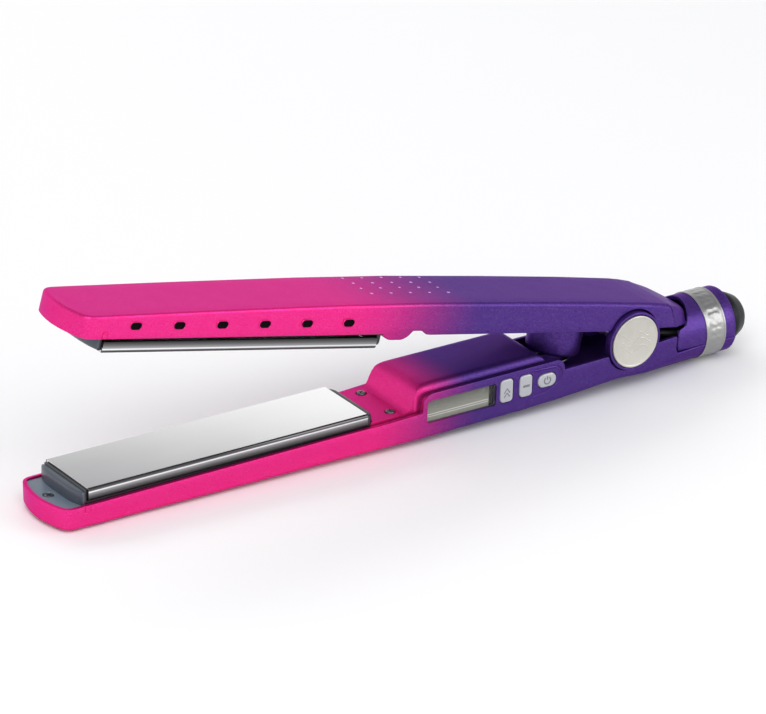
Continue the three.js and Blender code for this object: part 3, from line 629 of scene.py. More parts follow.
def floor_finish(name, colour):
    """Matt card with hardly any mottling."""
    finish = Finish(name)
    cloud = finish.noise(180.0, 2.0)
    return finish.surface({
        "Base Color": finish.mix(cloud * 0.2, colour, tint(colour, 0.97)),
        "Roughness": 0.62 + finish.noise(6.0) * 0.1,
        "Specular IOR Level": 0.25,
    })


# ---- settings --------------------------------------------------------------------------

def colour_property(name, description, default):
    """A colour that the sidebar can change."""
    return FloatVectorProperty(name=name, description=description, subtype="COLOR", size=4,
                               min=0.0, max=1.0, default=default)


class CasingSettings(bpy.types.PropertyGroup):
    """Colours and fades of the painted casings."""

    front: colour_property("Front colour", "Paint at the tips", (0.84, 0.006, 0.23, 1.0))
    rear: colour_property("Rear colour", "Paint at the hinge and tail", (0.056, 0.013, 0.20, 1.0))
    dots: colour_property("Dot colour", "Printed dots on the upper arm", (0.55, 0.30, 0.62, 1.0))
    upper_fade: FloatVectorProperty(
        name="Upper fade", size=2, default=(104.0, 176.0),
        description="Where the upper arm's fade starts and ends, in mm from the plate's front")
    lower_fade: FloatVectorProperty(
        name="Lower fade", size=2, default=(126.0, 180.0),
        description="Where the lower arm's fade starts and ends, in mm from the plate's front")
    hood_fade: FloatVectorProperty(
        name="Hood fade", size=2, default=(144.0, 174.0),
        description="Where the hood's fade starts and ends, in mm from the plate's front")
    roughness: FloatProperty(name="Roughness", description="Roughness under the clear coat",
                             min=0.05, max=1.0, default=0.34)


class FittingSettings(bpy.types.PropertyGroup):
    """Colours of the metal, plastic and printed fittings."""

    titanium: colour_property("Titanium", "Heated plates", (0.82, 0.82, 0.82, 1.0))
    slate: colour_property("Slate", "Plate holders", (0.018, 0.02, 0.025, 1.0))
    tongue: colour_property("Tongue", "Tongues of the plate holders", (0.13, 0.165, 0.215, 1.0))
    cap: colour_property("Front cap", "Front caps of the plate holders", (0.05, 0.064, 0.085, 1.0))
    medallion: colour_property("Medallion", "Hinge caps", (0.60, 0.58, 0.53, 1.0))
    chrome: colour_property("Chrome", "Tail band", (0.36, 0.36, 0.355, 1.0))
    black: colour_property("Black", "Cord gland", (0.004, 0.005, 0.007, 1.0))
    button: colour_property("Button", "Push buttons", (0.46, 0.47, 0.50, 1.0))
    mark: colour_property("Mark", "Signs on the buttons", (0.16, 0.17, 0.19, 1.0))
    glass: colour_property("Display", "Liquid crystal glass", (0.25, 0.255, 0.215, 1.0))


class StageSettings(bpy.types.PropertyGroup):
    """Camera, lights and floor."""

    azimuth: FloatProperty(name="Azimuth", description="Camera's turn round the iron",
                           subtype="ANGLE", default=math.radians(-35.106))
    elevation: FloatProperty(name="Elevation", description="Camera's height angle",
                             subtype="ANGLE", default=math.radians(24.051))
    roll: FloatProperty(name="Roll", description="Camera's tilt to one side",
                        subtype="ANGLE", default=math.radians(2.249))
    distance: FloatProperty(name="Distance", description="Camera to what it looks at",
                            unit="LENGTH", default=2.26235)
    target: FloatVectorProperty(name="Target", description="What the camera looks at",
                                subtype="XYZ", unit="LENGTH", default=(-0.0094, 0.0, 0.03294))
    lens: FloatProperty(name="Lens", description="Focal length in mm on a 36 mm sensor",
                        default=272.59)
    floor: colour_property("Floor", "Plain pale floor", (0.95, 0.95, 0.95, 1.0))
    key: FloatProperty(name="Key light", description="Power of the large key light",
                       unit="POWER", default=9.0)
    sky: FloatProperty(name="Sky", description="Strength of the even light all round",
                       default=1.1)


# ---- casings ---------------------------------------------------------------------------

def nose_outline():
    """Half of the arms' nose from above, from the middle to the straight side, smoothed."""
    tip = NOSE_X - 0.3
    points = (curve((tip, 0.0), (tip, 6.8), (NOSE_X + 2.0, 12.8), 7)
              + curve((NOSE_X + 2.0, 12.8), (NOSE_X + 3.0, ARM_HALF - 0.5),
                      (-7.0, ARM_HALF), 12)[1:]
              + [(-5.0, ARM_HALF)])
    for _ in range(3):
        points = [points[0]] + [
            tuple((a + 2 * b + c) / 4 for a, b, c in zip(before, here, after))
            for before, here, after in zip(points, points[1:], points[2:])] + [points[-1]]
    normals = []
    for k, _ in enumerate(points):
        before = points[k - 1] if k else (points[1][0], -points[1][1])
        after = points[min(k + 1, len(points) - 1)]
        step = Vector((after[0] - before[0], after[1] - before[1])).normalized()
        normals.append((-step.y, step.x))
    normals[-1] = (0.0, 1.0)
    return points, normals


class Column:
    """One line down a casing's wall: where it starts in plan, which way it faces and its form."""

    def __init__(self, x, y, normal, rim, station, rim_x=None, lean=0.0, draft=1.0):
        self.x = x if rim_x is None else rim_x
        self.y, self.normal, self.rim, self.lean = y, normal, rim, lean
        self.base = x
        _, half, foot, self.depth, self.fillet = station
        self.draft = (half - foot) * draft

    def inset(self, depth):
        """How far the outer wall stands in from the plan at that depth."""
        start = self.depth - self.fillet
        if depth <= start:
            return self.draft * (depth + 2) / (start + 2)
        sine = min((depth - start) / self.fillet, 1.0)
        return self.draft + self.fillet * (1 - math.sqrt(1 - sine * sine))

    def at(self, inset, depth, sign, side):
        """The point that far in from the plan at that depth."""
        share = ease((depth - self.rim) / max(self.depth - self.fillet - self.rim, 0.5))
        x = self.x + (self.base - self.x) * share - self.normal[0] * inset
        x += self.lean * (depth - LEAN_FROM)
        return (x, side * (self.y - self.normal[1] * inset), sign * depth)

    def outer(self, sign, side):
        """Points down the outer face, from the rim's rounded edge to the end of the fillet."""
        edge, bead, wall_steps, fillet_steps = RIM_EDGE, 0.1, 4, 8
        top = self.rim
        start = max(self.depth - self.fillet, top + 0.9)
        face = self.inset(top + edge)
        marks = [(face + edge, top), (face + bead, top + bead), (face, top + edge)]
        for k in range(1, wall_steps + 1):
            depth = top + edge + (start - top - edge) * k / wall_steps
            marks.append((self.inset(depth), depth))
        first = math.asin(min(max((start - self.depth + self.fillet) / self.fillet, 0.0), 0.98))
        for k in range(1, fillet_steps + 1):
            angle = first + (math.pi / 2 - first) * k / fillet_steps
            marks.append((self.draft + self.fillet * (1 - math.cos(angle)),
                          self.depth - self.fillet * (1 - math.sin(angle))))
        return [self.at(inset, depth, sign, side) for inset, depth in marks]

    def inner(self, sign, side):
        """Points down the inner face."""
        steps = 4
        radius = max(self.fillet - WALL, 0.6)
        low = self.depth - WALL
        start = max(low - radius, self.rim + 0.5)
        first = math.asin(min(max((start - low + radius) / radius, 0.0), 0.98))
        marks = [(self.inset(self.rim + RIM_EDGE) + WALL, self.rim)]
        for k in range(steps + 1):
            angle = first + (math.pi / 2 - first) * k / steps
            marks.append((self.draft + WALL + radius * (1 - math.cos(angle)),
                          low - radius * (1 - math.sin(angle))))
        return [self.at(inset, depth, sign, side) for inset, depth in marks]


def across(first, last, steps=6):
    """Points between two points, both left out."""
    return [tuple(a + (b - a) * k / steps for a, b in zip(first, last)) for k in range(1, steps)]


def casing(right, left, sign, open_end):
    """A pan with rounded foot edges and a wall thickness, from pairs of wall columns."""
    rings = []
    for one, other in zip(right, left):
        out_right, out_left = one.outer(sign, 1), other.outer(sign, -1)
        in_right, in_left = one.inner(sign, 1), other.inner(sign, -1)
        rings.append(out_right + across(out_right[-1], out_left[-1]) + out_left[::-1]
                     + in_left + across(in_left[-1], in_right[-1]) + in_right[::-1])
    return loft(rings, (False, open_end))


def station(table, x):
    """The casing's section at x: a row of the table, worked out between its rows."""
    return tuple(along(table, x, column) for column in range(5))


def nose_columns(table, rim):
    """Columns round half of the nose."""
    points, normals = nose_outline()
    return [Column(x, y, normal, abs(along(rim, x)), station(table, x))
            for (x, y), normal in zip(points, normals)]


def side_columns(table, path):
    """Columns along a straight side for a path of (rim x, rim depth, x at the foot)."""
    return [Column(foot, along(table, foot, 1), (0.0, 1.0), depth, station(table, foot),
                   rim_x=rim_x) for rim_x, depth, foot in path]


def spaced(path, start, end):
    """Adds to each (x, z) of a rim path the foot x that its share of the path's length gives."""
    lengths = [0.0]
    for a, b in zip(path, path[1:]):
        lengths.append(lengths[-1] + math.dist(a, b))
    return [(x, z, start + (end - start) * length / lengths[-1])
            for (x, z), length in zip(path, lengths)]


def on_rim(rim, *xs):
    """Points of a rim at each x."""
    return [(x, along(rim, x)) for x in xs]


def ear_path(rim, upward):
    """The rim's way round the ear's round room, in steps of about equal length."""
    sign = 1 if upward else -1
    steps, degree_parts = 18, 2
    cut = []
    for k in range(360 * degree_parts + 1):
        angle = math.radians(k / degree_parts)
        x, z = HINGE_X + EAR_ROOM * math.cos(angle), HINGE_Z + EAR_ROOM * math.sin(angle)
        if sign * (z - along(rim, x)) > 0:
            cut.append((x, z))
    cut.sort(key=lambda point: point[0])
    picked = [cut[0]]
    total = sum(math.dist(a, b) for a, b in zip(cut, cut[1:]))
    walked = 0.0
    for a, b in zip(cut, cut[1:]):
        walked += math.dist(a, b)
        if walked >= total * len(picked) / steps:
            picked.append(b)
    if picked[-1] != cut[-1]:
        picked.append(cut[-1])
    return picked


def depths(path):
    """A path of (x, z) below the contact plane as a path of (x, depth)."""
    return [(x, -z) for x, z in path]


def lower_casing_drawing():
    """The lower pan: plain on the far side, raised round the controls on the near side."""
    front = on_rim(LOWER_RIM, -3, -2, -0.4, 3, 12, 30, 50, 70, 90, 110, 122, 130, 136, 142, 147)
    pod = (on_rim(LOWER_RIM, POD_START)
           + [(151.1, along(LOWER_RIM, 151)), (151.45, -4.6), (151.5, -4.2), (151.5, -3.0)]
           + arc(156.1, -1.7, 4.6, 180, 90, 8)
           + [(x, POD_TOP) for x in (160, 166, 173, 180, 187, 194, 201, 208, 212)]
           + arc(215.4, -1.2, 4.1, 90, 0, 8)
           + [(219.55, -1.8)] + on_rim(LOWER_RIM, 219.9, POD_END))
    pod_columns = spaced(depths(pod), POD_START, POD_END)
    plain = [(foot, -along(LOWER_RIM, foot), foot) for _, _, foot in pod_columns]
    ear = ear_path(LOWER_RIM, False)
    rear = (on_rim(LOWER_RIM, EAR_START, 229, 234, 238, ear[0][0] - 0.7)
            + ear + [(ear[-1][0] + 0.5, along(LOWER_RIM, 267))]
            + [(x, -1.9) for x in (268.5, 270.5, 272.5, 274.5, 276.2)]
            + [(276.8, -2.3), (277.0, -3.4), (277.0, -5.0), (277.0, -6.6), (277.0, -8.2),
               (277.0, -9.4), (277.3, -10.0), (278.2, TAIL_SPLIT - GAP / 2)])
    rear_columns = spaced(depths(rear), EAR_START, EAR_END)
    tail = [(x, -TAIL_SPLIT + GAP / 2, x)
            for x in (281, 283, 285, 288, 291, 294, 300, 305, 308, TAIL_END)]
    shared_front = [(x, z, x) for x, z in depths(front)]
    nose = nose_columns(LOWER_STATIONS, LOWER_RIM)
    right = nose + side_columns(LOWER_STATIONS, shared_front + plain + rear_columns + tail)
    left = nose + side_columns(LOWER_STATIONS, shared_front + pod_columns + rear_columns + tail)
    return casing(right, left, -1, True)


def upper_casing_drawing():
    """The upper pan, whose rear end is bowed and leans forward towards its top."""
    front = on_rim(UPPER_RIM, -3, -2, -0.4, 3, 12, 30, 50, 70, 90, 105, 115, 124, 131, 135.6,
                   136.1, 136.6, 137.6, 138.6, 139.3, 140, 143, 146.4, 147.1, 147.6, 148.5,
                   149.4, 150.1, 151, 156, 165, 180, 195, 210, 222, 232, 238)
    ear = ear_path(UPPER_RIM, True)
    start, end = ear[0][0] - 0.8, ear[-1][0] + 0.6
    hinge = on_rim(UPPER_RIM, start) + ear + on_rim(UPPER_RIM, end)
    rear = on_rim(UPPER_RIM, 267.5, 269, 271, 273, 274.6, 275.7)
    path = ([(x, z, x) for x, z in front] + spaced(hinge, start, end)
            + [(x, z, x) for x, z in rear])
    reach, half = 27, 20
    corner = math.asin(16.85 / half)
    corner_x = REAR_X + reach * math.cos(corner)
    columns = nose_columns(UPPER_STATIONS, UPPER_RIM) + side_columns(UPPER_STATIONS, path)
    for column in columns:
        column.lean = REAR_LEAN * ease((column.x - REAR_X) / (corner_x - REAR_X))
        column.base = column.x if column.x > 266.0 else column.base
    steps = 16
    for k in range(steps + 1):
        angle = corner * (1 - k / steps)
        x, y = REAR_X + reach * math.cos(angle), half * math.sin(angle)
        normal = Vector((math.cos(angle) / reach, math.sin(angle) / half)).normalized()
        turn = ease(k / 3)
        normal = (Vector((0.42, 1.0)).normalized() * (1 - turn) + normal * turn).normalized()
        if k == steps:
            normal = Vector((1.0, 0.0))
        foot = x
        for _ in range(4):
            foot = x + REAR_LEAN * (along(UPPER_STATIONS, foot, 3) - LEAN_FROM)
        columns.append(Column(x, y, tuple(normal), along(UPPER_RIM, x),
                              station(UPPER_STATIONS, foot), lean=REAR_LEAN,
                              draft=1.0 - ease(k / 6)))
    for column in columns:
        if column.lean and column.x < corner_x:
            top = along(UPPER_STATIONS, column.x, 3)
            foot = column.x + column.lean * (top - LEAN_FROM)
            _, _, _, column.depth, column.fillet = station(UPPER_STATIONS, foot)
    return casing(columns, columns, 1, False)


def bar(outline, y0, y1):
    """A closed outline in x and z drawn along y."""
    return loft([[(x, y, z) for x, z in outline] for y in (y0, y1)])


def notch(rim, sign):
    """Round-ended marks pressed into both sides, from the rim, next to the plates' front."""
    path = [(-2.4, rim - sign), *arc(-1.2, rim + 1.9 * sign, 1.2, 180, 180 - 180 * sign, 8),
            (0.0, rim - sign)]
    return joined(*[tube([(x, side * NOTCH_FACE, z) for x, z in path], NOTCH_DEPTH)
                    for side in (-1, 1)])


def vent_outline(index, grow):
    """A vent's round-ended outline, numbered from the front."""
    x = VENTS["first"] + index * VENTS["pitch"]
    half, r = VENTS["length"] / 2 + grow, VENTS["height"] / 2 + grow
    return pill(x - half, VENTS["z"] - r, x + half, VENTS["z"] + r, r, 6)


class FLATIRON_OT_lower_casing(bpy.types.Operator):
    """Builds the lower arm's painted casing with its display and button openings"""

    bl_idname = "flatiron.lower_casing"
    bl_label = "Lower casing"

    def execute(self, context):
        finish = paint("lower_casing_paint", LOWER, context.scene.flatiron_casing.lower_fade)
        cut = (-25, -14)
        groove = softened([(204.6, 0.95), (215.6, 0.6), (218.0, -1.6), (217.9, -6.2),
                           (211.6, -9.6), (204.4, -10.3)], 2.2, 5)
        tools = [bar(pill(*DISPLAY, DISPLAY_CORNER), *cut),
                 tube([(x, -EAR_FACE, z) for x, z in groove], 0.6), notch(-6.6, -1),
                 turned([(0, -26), (2.2, -26), (2.2, -19.0), (0, -19.0)], "Z",
                        (TAIL_SCREW_X, 0, 0), 28)]
        tools += [bar(grown(*button, 6, True)(GAP), *cut) for button in BUTTONS.values()]
        shell = carved(mesh_of("lower_casing", lower_casing_drawing()), joined(*tools))
        piece("lower_casing", shell, LOWER, finish, "lower_arm", ["lower_shell"])
        return {"FINISHED"}


class FLATIRON_OT_upper_casing(bpy.types.Operator):
    """Builds the upper arm's painted casing with its vents, black plugs painted as the shade
    inside them, and printed dots
    """

    bl_idname = "flatiron.upper_casing"
    bl_label = "Upper casing"

    def execute(self, context):
        look = context.scene.flatiron_casing
        finish = paint("upper_casing_paint", UPPER, look.upper_fade)
        tools = [notch(6.2, 1)]
        rims, shade_plugs = [], []
        cut_from, cut_to, wall_in = 14.0, 22.0, 0.46
        for index in range(VENTS["count"]):
            for side in (-1, 1):
                tools.append(bar(vent_outline(index, 0.0), side * cut_from, side * cut_to))
                face = side * (ARM_HALF - wall_in)
                ring = [(x, face, z) for x, z in vent_outline(index, 0.12)]
                rims.append(tube(ring + ring[:2], 0.2, 6))
                # Painted shade: a black dished plug closes each vent from inside and stands for
                # the shade within.
                levels = [(0.25, face - side * 1.2), (0.12, face - side * 0.25),
                          (-0.1, face - side * 0.12), (-0.75, face - side * 0.55),
                          (-1.2, face - side * 0.62)]
                shade_plugs.append(raised(partial(vent_outline, index), levels, "Y"))
        shell = carved(mesh_of("upper_casing", upper_casing_drawing()), joined(*tools))
        piece("upper_casing", shell, UPPER, finish, "upper_arm", ["upper_shell"])
        piece("vent_rims", joined(*rims), UPPER, finish, "upper_arm")
        # Near-black with little shine: the painted shade inside the vents.
        vent_shade_black = moulded("vent_painted_shade", (0.003, 0.002, 0.003, 1.0), 0.75, 0.3, 0.01, specular=0.05)
        piece("vent_shade_plugs", joined(*shade_plugs), UPPER, vent_shade_black, "upper_arm")
        rows, columns, pitch, row_pitch = 4, 5, 9.3, 5.7
        dots = []
        for row in range(rows):
            for column in range(columns):
                x = 128.8 - 0.5 * row - 0.7 * (row % 2) + pitch * column
                y, top = -3.9 + row_pitch * row, along(UPPER_STATIONS, x, 3)
                radius = 0.80 - 0.05 * ((row * 3 + column * 2) % 4)
                dots.append(turned([(0, 0.07), (radius * 0.7, 0.06), (radius, -0.05), (0, -0.06)],
                                   "Z", (x, y, top), 16))
        ink = moulded("dot_ink", look.dots, 0.42, 0.4, 0.01)
        piece("printed_dots", joined(*dots), UPPER, ink, "upper_arm")
        return {"FINISHED"}


# ---- inner covers ----------------------------------------------------------------------

def holder_edge(y):
    """Where the covers' curved front edge is, hugging the plate holder's rear cap."""
    share = min(max((abs(y) - REAR_CAP_FLAT) / 5.0, 0.0), 1.0)
    return REAR_CAP_END + 0.4 - 2.4 * share ** 3


def pulled(x, y):
    """Moves a cover's front columns to its curved edge."""
    if x >= COVER_HOLD:
        return x
    share = (COVER_HOLD - x) * (COVER_HOLD - holder_edge(y))
    return COVER_HOLD - share / (COVER_HOLD - COVER_START)


def soft_lowest(a, b, blend):
    """The lower of two values, blended where they are close."""
    share = min(max(0.5 + 0.5 * (b - a) / blend, 0.0), 1.0)
    return b * (1 - share) + a * share - blend * share * (1 - share)


def lower_cover_rows():
    """Rows across the lower lid, from its front edge over the hood and down to the hinge."""
    edge, crown, blend = 3.6, 5.75, 0.9
    profile = softened([(COVER_START, -4.5), (146.2, -4.5), (148.4, 0.4), (150.6, 4.0),
                        (153.4, 5.3), (158.0, 5.6), (208.6, 5.6), (211.6, 3.4),
                        (213.4, -8.0), (214.6, -8.0)],
                       2.4, 5)
    profile += [(x, -8.0) for x in (215.5, 216.5, 217.5, 218.5, 219.5, 220.5, 222, 226, 234, 240,
                                    241.2, 250, 260, 262.6, 268, 272)]
    shares = (0.985, 0.96, 0.92, 0.87, 0.8, 0.74, 0.69, 0.655, 0.62, 0.585, 0.5, 0.3, 0.12)
    rows = []
    for x, level in profile:
        half = COVER_HALF if x < 240.6 else (14.0 if x < 262.3 else 12.4)
        ys = [-half] + [-half * s for s in shares] + [0.0] + [half * s for s in shares[::-1]]
        ys.append(half)
        row = []
        for y in ys:
            beyond = max(abs(y) - (COVER_HALF - edge), 0.0)
            section = crown - (edge - math.sqrt(max(edge ** 2 - beyond ** 2, 0.0)))
            z = soft_lowest(level, section, blend)
            if 207.0 < x < 222.0:
                shelf = 1.8 - 9.8 * ease((x - 216.6) / 3.6)
                z += (max(shelf, z) - z) * ease((-8.7 - y) / blend)
            row.append((pulled(x, y), y, z))
        behind_display, behind_buttons = 153.7 < x < 186.5, 186.4 < x < 220.8
        drop = 0.5 if behind_display else (1.9 if behind_buttons else COVER_SKIRT)
        (*near, near_z), (*far, far_z) = row[0], row[-1]
        rows.append([(*near, min(drop, near_z - (0.05 if drop > 0 else 0.4)))] + row
                    + [(*far, min(COVER_SKIRT, far_z - 0.4))])
    return rows


def upper_cover_drawing():
    """The upper lid with its front bulge, the spring's cup and the lugs on the hinge bushes."""
    bottom = softened([(COVER_START, 6.9), (129.6, 4.3), (132.5, 3.1), (139.4, 3.1), (142.0, 4.3),
                       (144.6, 7.2), (150.0, 7.2)], 1.6, 5)
    bottom += [(x, 7.2) for x in (170, 190, 210, 230, 231.4, 231.9, 240, 250, 258, 265, 271, 276)]
    stretch_from, cover_end = 250.0, 276.0
    rings = []
    for x, low in bottom:
        half = COVER_HALF if x < 231.6 else 13.7
        top = 10.3 if x < 145.2 else 8.7
        ring = []
        for y, z in pill(-half, low, half, top, min(0.9, (top - low) / 2 - 0.05), 4):
            along_x = pulled(x, y)
            if x > stretch_from:
                end = min(bowed(y, 21.2, 16.5), cover_end)
                along_x = (stretch_from + (x - stretch_from) * (end - stretch_from)
                           / (cover_end - stretch_from))
            ring.append((along_x, y, z))
        rings.append(ring)
    slab = loft(rings)
    cup = turned([(0.0, 8.4), (10.6, 8.4), (11.0, 7.0), (11.0, -5.6), (10.85, -6.4),
                  (10.4, -7.0), (9.95, -7.2), (9.7, -7.0), (9.6, -6.4), (9.6, 7.4), (0.0, 7.6)],
                 "Z", (CUP_X, 0, 0), 72)
    lug = [(6.1, 10.3), (8.1, 10.3), (8.5, 10.7), (8.5, 13.5), (8.1, 13.9), (6.1, 13.9)]
    lugs = [hinged(lug, side, 48, True) for side in (-1, 1)]
    return joined(slab, cup, *lugs)


class FLATIRON_OT_inner_covers(bpy.types.Operator):
    """Builds the lid with the hood in the lower arm and the lid with the spring cup above"""

    bl_idname = "flatiron.inner_covers"
    bl_label = "Inner covers"

    def execute(self, context):
        look = context.scene.flatiron_casing
        finish = paint("cover_paint", LOWER, look.hood_fade, 0.05)
        crease = 40
        lid = mesh_of("hood_cover", sheet(lower_cover_rows()), crease)
        upward = sum(face.normal.z * face.area for face in lid.polygons) > 0
        lid = modified(lid, "SOLIDIFY",
                       {"thickness": 1.2 * MM, "offset": -1.0 if upward else 1.0}, crease)
        wells = [turned([(0, -5.1), (2.3, -5.1), (2.3, -2.0), (0, -2.0)], "Z",
                        (LOWER_COVER_SCREW_X, y, 0), 32)
                 for y in (-COVER_SCREW_Y, COVER_SCREW_Y)]
        piece("hood_cover", carved(lid, joined(*wells), crease), LOWER, finish, "lower_arm",
              ["lower_inner_cover"])
        finish = paint("cup_cover_paint", UPPER, look.upper_fade, 0.05)
        piece("cup_cover", upper_cover_drawing(), UPPER, finish, "upper_arm",
              ["upper_inner_cover"])
        return {"FINISHED"}


# ---- plates ----------------------------------------------------------------------------

def plate_drawing():
    """A channel-shaped plate with rounded long edges and slightly eased ends."""
    top, edge, skin = -GAP / 2, 1.1, 1.2
    foot, inside = top - PLATE_DEPTH, PLATE_HALF - skin
    section = ([(-PLATE_HALF, foot)]
               + arc(-PLATE_HALF + edge, top - edge, edge, 180, 90, 8) + [(0.0, top)]
               + arc(PLATE_HALF - edge, top - edge, edge, 90, 0, 8)
               + [(PLATE_HALF, foot), (inside, foot), (inside, top - skin),
                  (-inside, top - skin), (-inside, foot)])
    rings = []
    for x, shrink in ((0.0, 0.16), (0.05, 0.05), (0.18, 0.0), (PLATE_LENGTH / 2, 0.0),
                      (PLATE_LENGTH - 0.18, 0.0), (PLATE_LENGTH - 0.05, 0.05),
                      (PLATE_LENGTH, 0.16)):
        rings.append([(x, y * (1 - shrink / PLATE_HALF), min(z, top - shrink))
                      for y, z in section])
    return loft(rings)


def cap_outline(edge, bow, half, flat):
    """An outline from above with a straight edge at x = edge that bows out to x = bow and
    runs straight across for flat to each side of the middle."""
    lean = 1.0 if bow > edge else -1.0

    def outline(grow):
        reach = bow + lean * grow
        side = half + grow
        first = curve((edge + lean, side), (reach, flat + (side - flat) * 0.74),
                      (reach, flat), 12) + [(reach, 0.0)]
        back = [(x, -y) for x, y in first[-2::-1]]
        return [(edge, side * 0.985)] + first + back + [(edge, -side * 0.985)]
    return outline


CAP_LEVELS = ((-0.3, HOLDER_FOOT), (0.0, -7.3), (0.0, -2.7), (-0.15, -2.1), (-0.5, -1.65),
              (-1.0, -1.45))


def holder_drawing():
    """The tray under a plate, the dark strip before it and the bowed cap behind it."""
    strip = raised(grown(-1.4, -14.6, -0.2, 14.6, 0.3),
                   [(0.0, HOLDER_FOOT), (0.0, -1.2), (-0.1, -1.0)])
    rear = raised(cap_outline(127.4, REAR_CAP_END, HOLDER_HALF, REAR_CAP_FLAT),
                  [(grow * 0.7, z + 0.2) for grow, z in CAP_LEVELS])
    tray = raised(grown(-1, -HOLDER_HALF, 128.2, HOLDER_HALF, 1.0),
                  [(0.0, HOLDER_FOOT), (0.0, -5.6)])
    return joined(strip, rear, tray)


def tongue_mesh():
    """A ledge that fills the nose behind the rim, with a round seat for the tip screw."""
    points, normals = nose_outline()

    def outline(grow):
        inset = WALL + GAP - grow
        inner = [(x - normal[0] * inset, min(y - normal[1] * inset, TONGUE_HALF + grow))
                 for (x, y), normal in zip(points, normals)]
        inner.append((0.0, TONGUE_HALF + grow))
        return [(x, -y) for x, y in inner[::-1]] + inner[1:]
    ledge = raised(outline, [(0.0, -TONGUE_BACK), (0.0, 0.4 - TONGUE_BACK),
                             (0.0, -TONGUE_FACE - 0.35), (-0.12, -TONGUE_FACE - 0.1),
                             (-0.4, -TONGUE_FACE)])
    seat = turned([(0.0, -TONGUE_SEAT), (2.25, -TONGUE_SEAT), (2.25, -TONGUE_FACE - 0.3),
                   (2.55, -TONGUE_FACE + 0.05), (2.55, 0.0), (0.0, 0.0)], "Z",
                  (TIP_SCREW_X, 0, 0), 40)
    return carved(mesh_of("tongue", ledge), seat)


def pad_drawing(x0, x1):
    """A silicone pad between a holder and its plate."""
    return raised(grown(x0, -2.6, x1, 2.6, 0.6),
                  [(-0.2, PAD_FOOT), (0.0, -6.4), (0.0, -1.85), (-0.2, -1.66)])


class FLATIRON_OT_plates(bpy.types.Operator):
    """Builds both heated plates, their holders and the silicone pads they float on"""

    bl_idname = "flatiron.plates"
    bl_label = "Heated plates"

    def execute(self, context):
        look = context.scene.flatiron_fittings
        slate = moulded("holder_slate", look.slate, 0.36, 0.35, 0.012, coat=0.15)
        tongue = moulded("tongue_slate", look.tongue, 0.4, 0.35, 0.012)
        cap = moulded("cap_slate", look.cap, 0.34, 0.35, 0.012, coat=0.2)
        silicone = moulded("pad_silicone", (0.42, 0.08, 0.05, 1.0), 0.62, 0.5, 0.02)
        for arm, matrix in (("lower", LOWER), ("upper", UPPER @ FLIP)):
            titanium = mirror_plate(f"{arm}_titanium", matrix, look.titanium, 0.05)
            piece(f"{arm}_hot_plate", plate_drawing(), matrix, titanium,
                  f"{arm}_heated_plate", [f"{arm}_plate"])
            body = f"{arm}_arm"
            piece(f"{arm}_holder", holder_drawing(), matrix, slate, body,
                  [f"{arm}_plate_holder"])
            piece(f"{arm}_front_cap", raised(cap_outline(-1.3, -4.6, 15.0, 3.0), CAP_LEVELS),
                  matrix, cap, body)
            piece(f"{arm}_tongue", tongue_mesh(), matrix, tongue, body)
            for end, (x0, x1) in PADS.items():
                pad = piece(f"{arm}_pad_{end}", pad_drawing(x0, x1), matrix, silicone, body,
                            [f"{arm}_float_pad_{end}"])
                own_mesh(pad)
        return {"FINISHED"}


# ---- tail ------------------------------------------------------------------------------

def swept_edge(y, z):
    """x of the rear cover's front edge: behind the hinge side walls, and clear of the upper
    arm's bowed rear end at every angle between open and closed."""
    edge, bow = bowed(y, 24, 18.8), bowed(y, 27.4, 20.4)
    lift = z - HINGE_Z
    steps = 12
    for k in range(steps + 1):
        angle = OPENING * k / steps
        cos, sin = math.cos(angle), math.sin(angle)
        reach = (bow - HINGE_X + REAR_LEAN * (HINGE_Z - LEAN_FROM)
                 + lift * (sin + REAR_LEAN * cos)) / (cos - REAR_LEAN * sin)
        above = HINGE_Z + reach * sin + lift * cos - LEAN_FROM
        if above > 0:
            edge = max(edge, edge + (HINGE_X + reach - edge) * ease(above / 1.8))
    return edge


def rear_cover_drawing():
    """The upper half of the tail, from the edge that clears the upper arm to the end wall."""
    top = math.degrees(math.acos((TAIL_SPLIT + GAP / 2 - TAIL_Z) / TAIL_RADIUS))
    steps = 72
    rows = []
    for k in range(steps + 1):
        angle = math.radians(-top + 2 * top * k / steps)
        y, z = math.sin(angle), math.cos(angle)
        edge = swept_edge(TAIL_RADIUS * y, TAIL_Z + TAIL_RADIUS * z)
        marks = [(TAIL_RADIUS - WALL, edge), (TAIL_RADIUS - 0.3, edge),
                 (TAIL_RADIUS, edge + 0.3)]
        marks += [(TAIL_RADIUS, edge + (TAIL_END - edge) * k / 8) for k in range(1, 8)]
        marks += [(TAIL_RADIUS, TAIL_END - 0.9), (TAIL_RADIUS - 0.25, TAIL_END - 0.3),
                  (TAIL_RADIUS - 0.9, TAIL_END), (TAIL_HOLE, TAIL_END),
                  (TAIL_HOLE, TAIL_END - TAIL_WALL), (TAIL_RADIUS - WALL, TAIL_END - TAIL_WALL)]
        rows.append([(x, radius * y, TAIL_Z + radius * z) for radius, x in marks])
    return loft(rows)


def end_wall_drawing():
    """The lower half of the wall that closes the tail round the gland's shaft."""
    drop = TAIL_Z - TAIL_SPLIT + GAP / 2
    outline = []
    for radius, way in ((TAIL_RADIUS - 0.9, 1), (TAIL_HOLE, -1)):
        tilt = math.degrees(math.asin(drop / radius))
        outline += arc(0.0, TAIL_Z, radius, *(180 + tilt, 360 - tilt)[::way], 36)
    return loft([[(x, y, z) for y, z in outline]
                 for x in (TAIL_END - TAIL_WALL, TAIL_END - 0.05)])


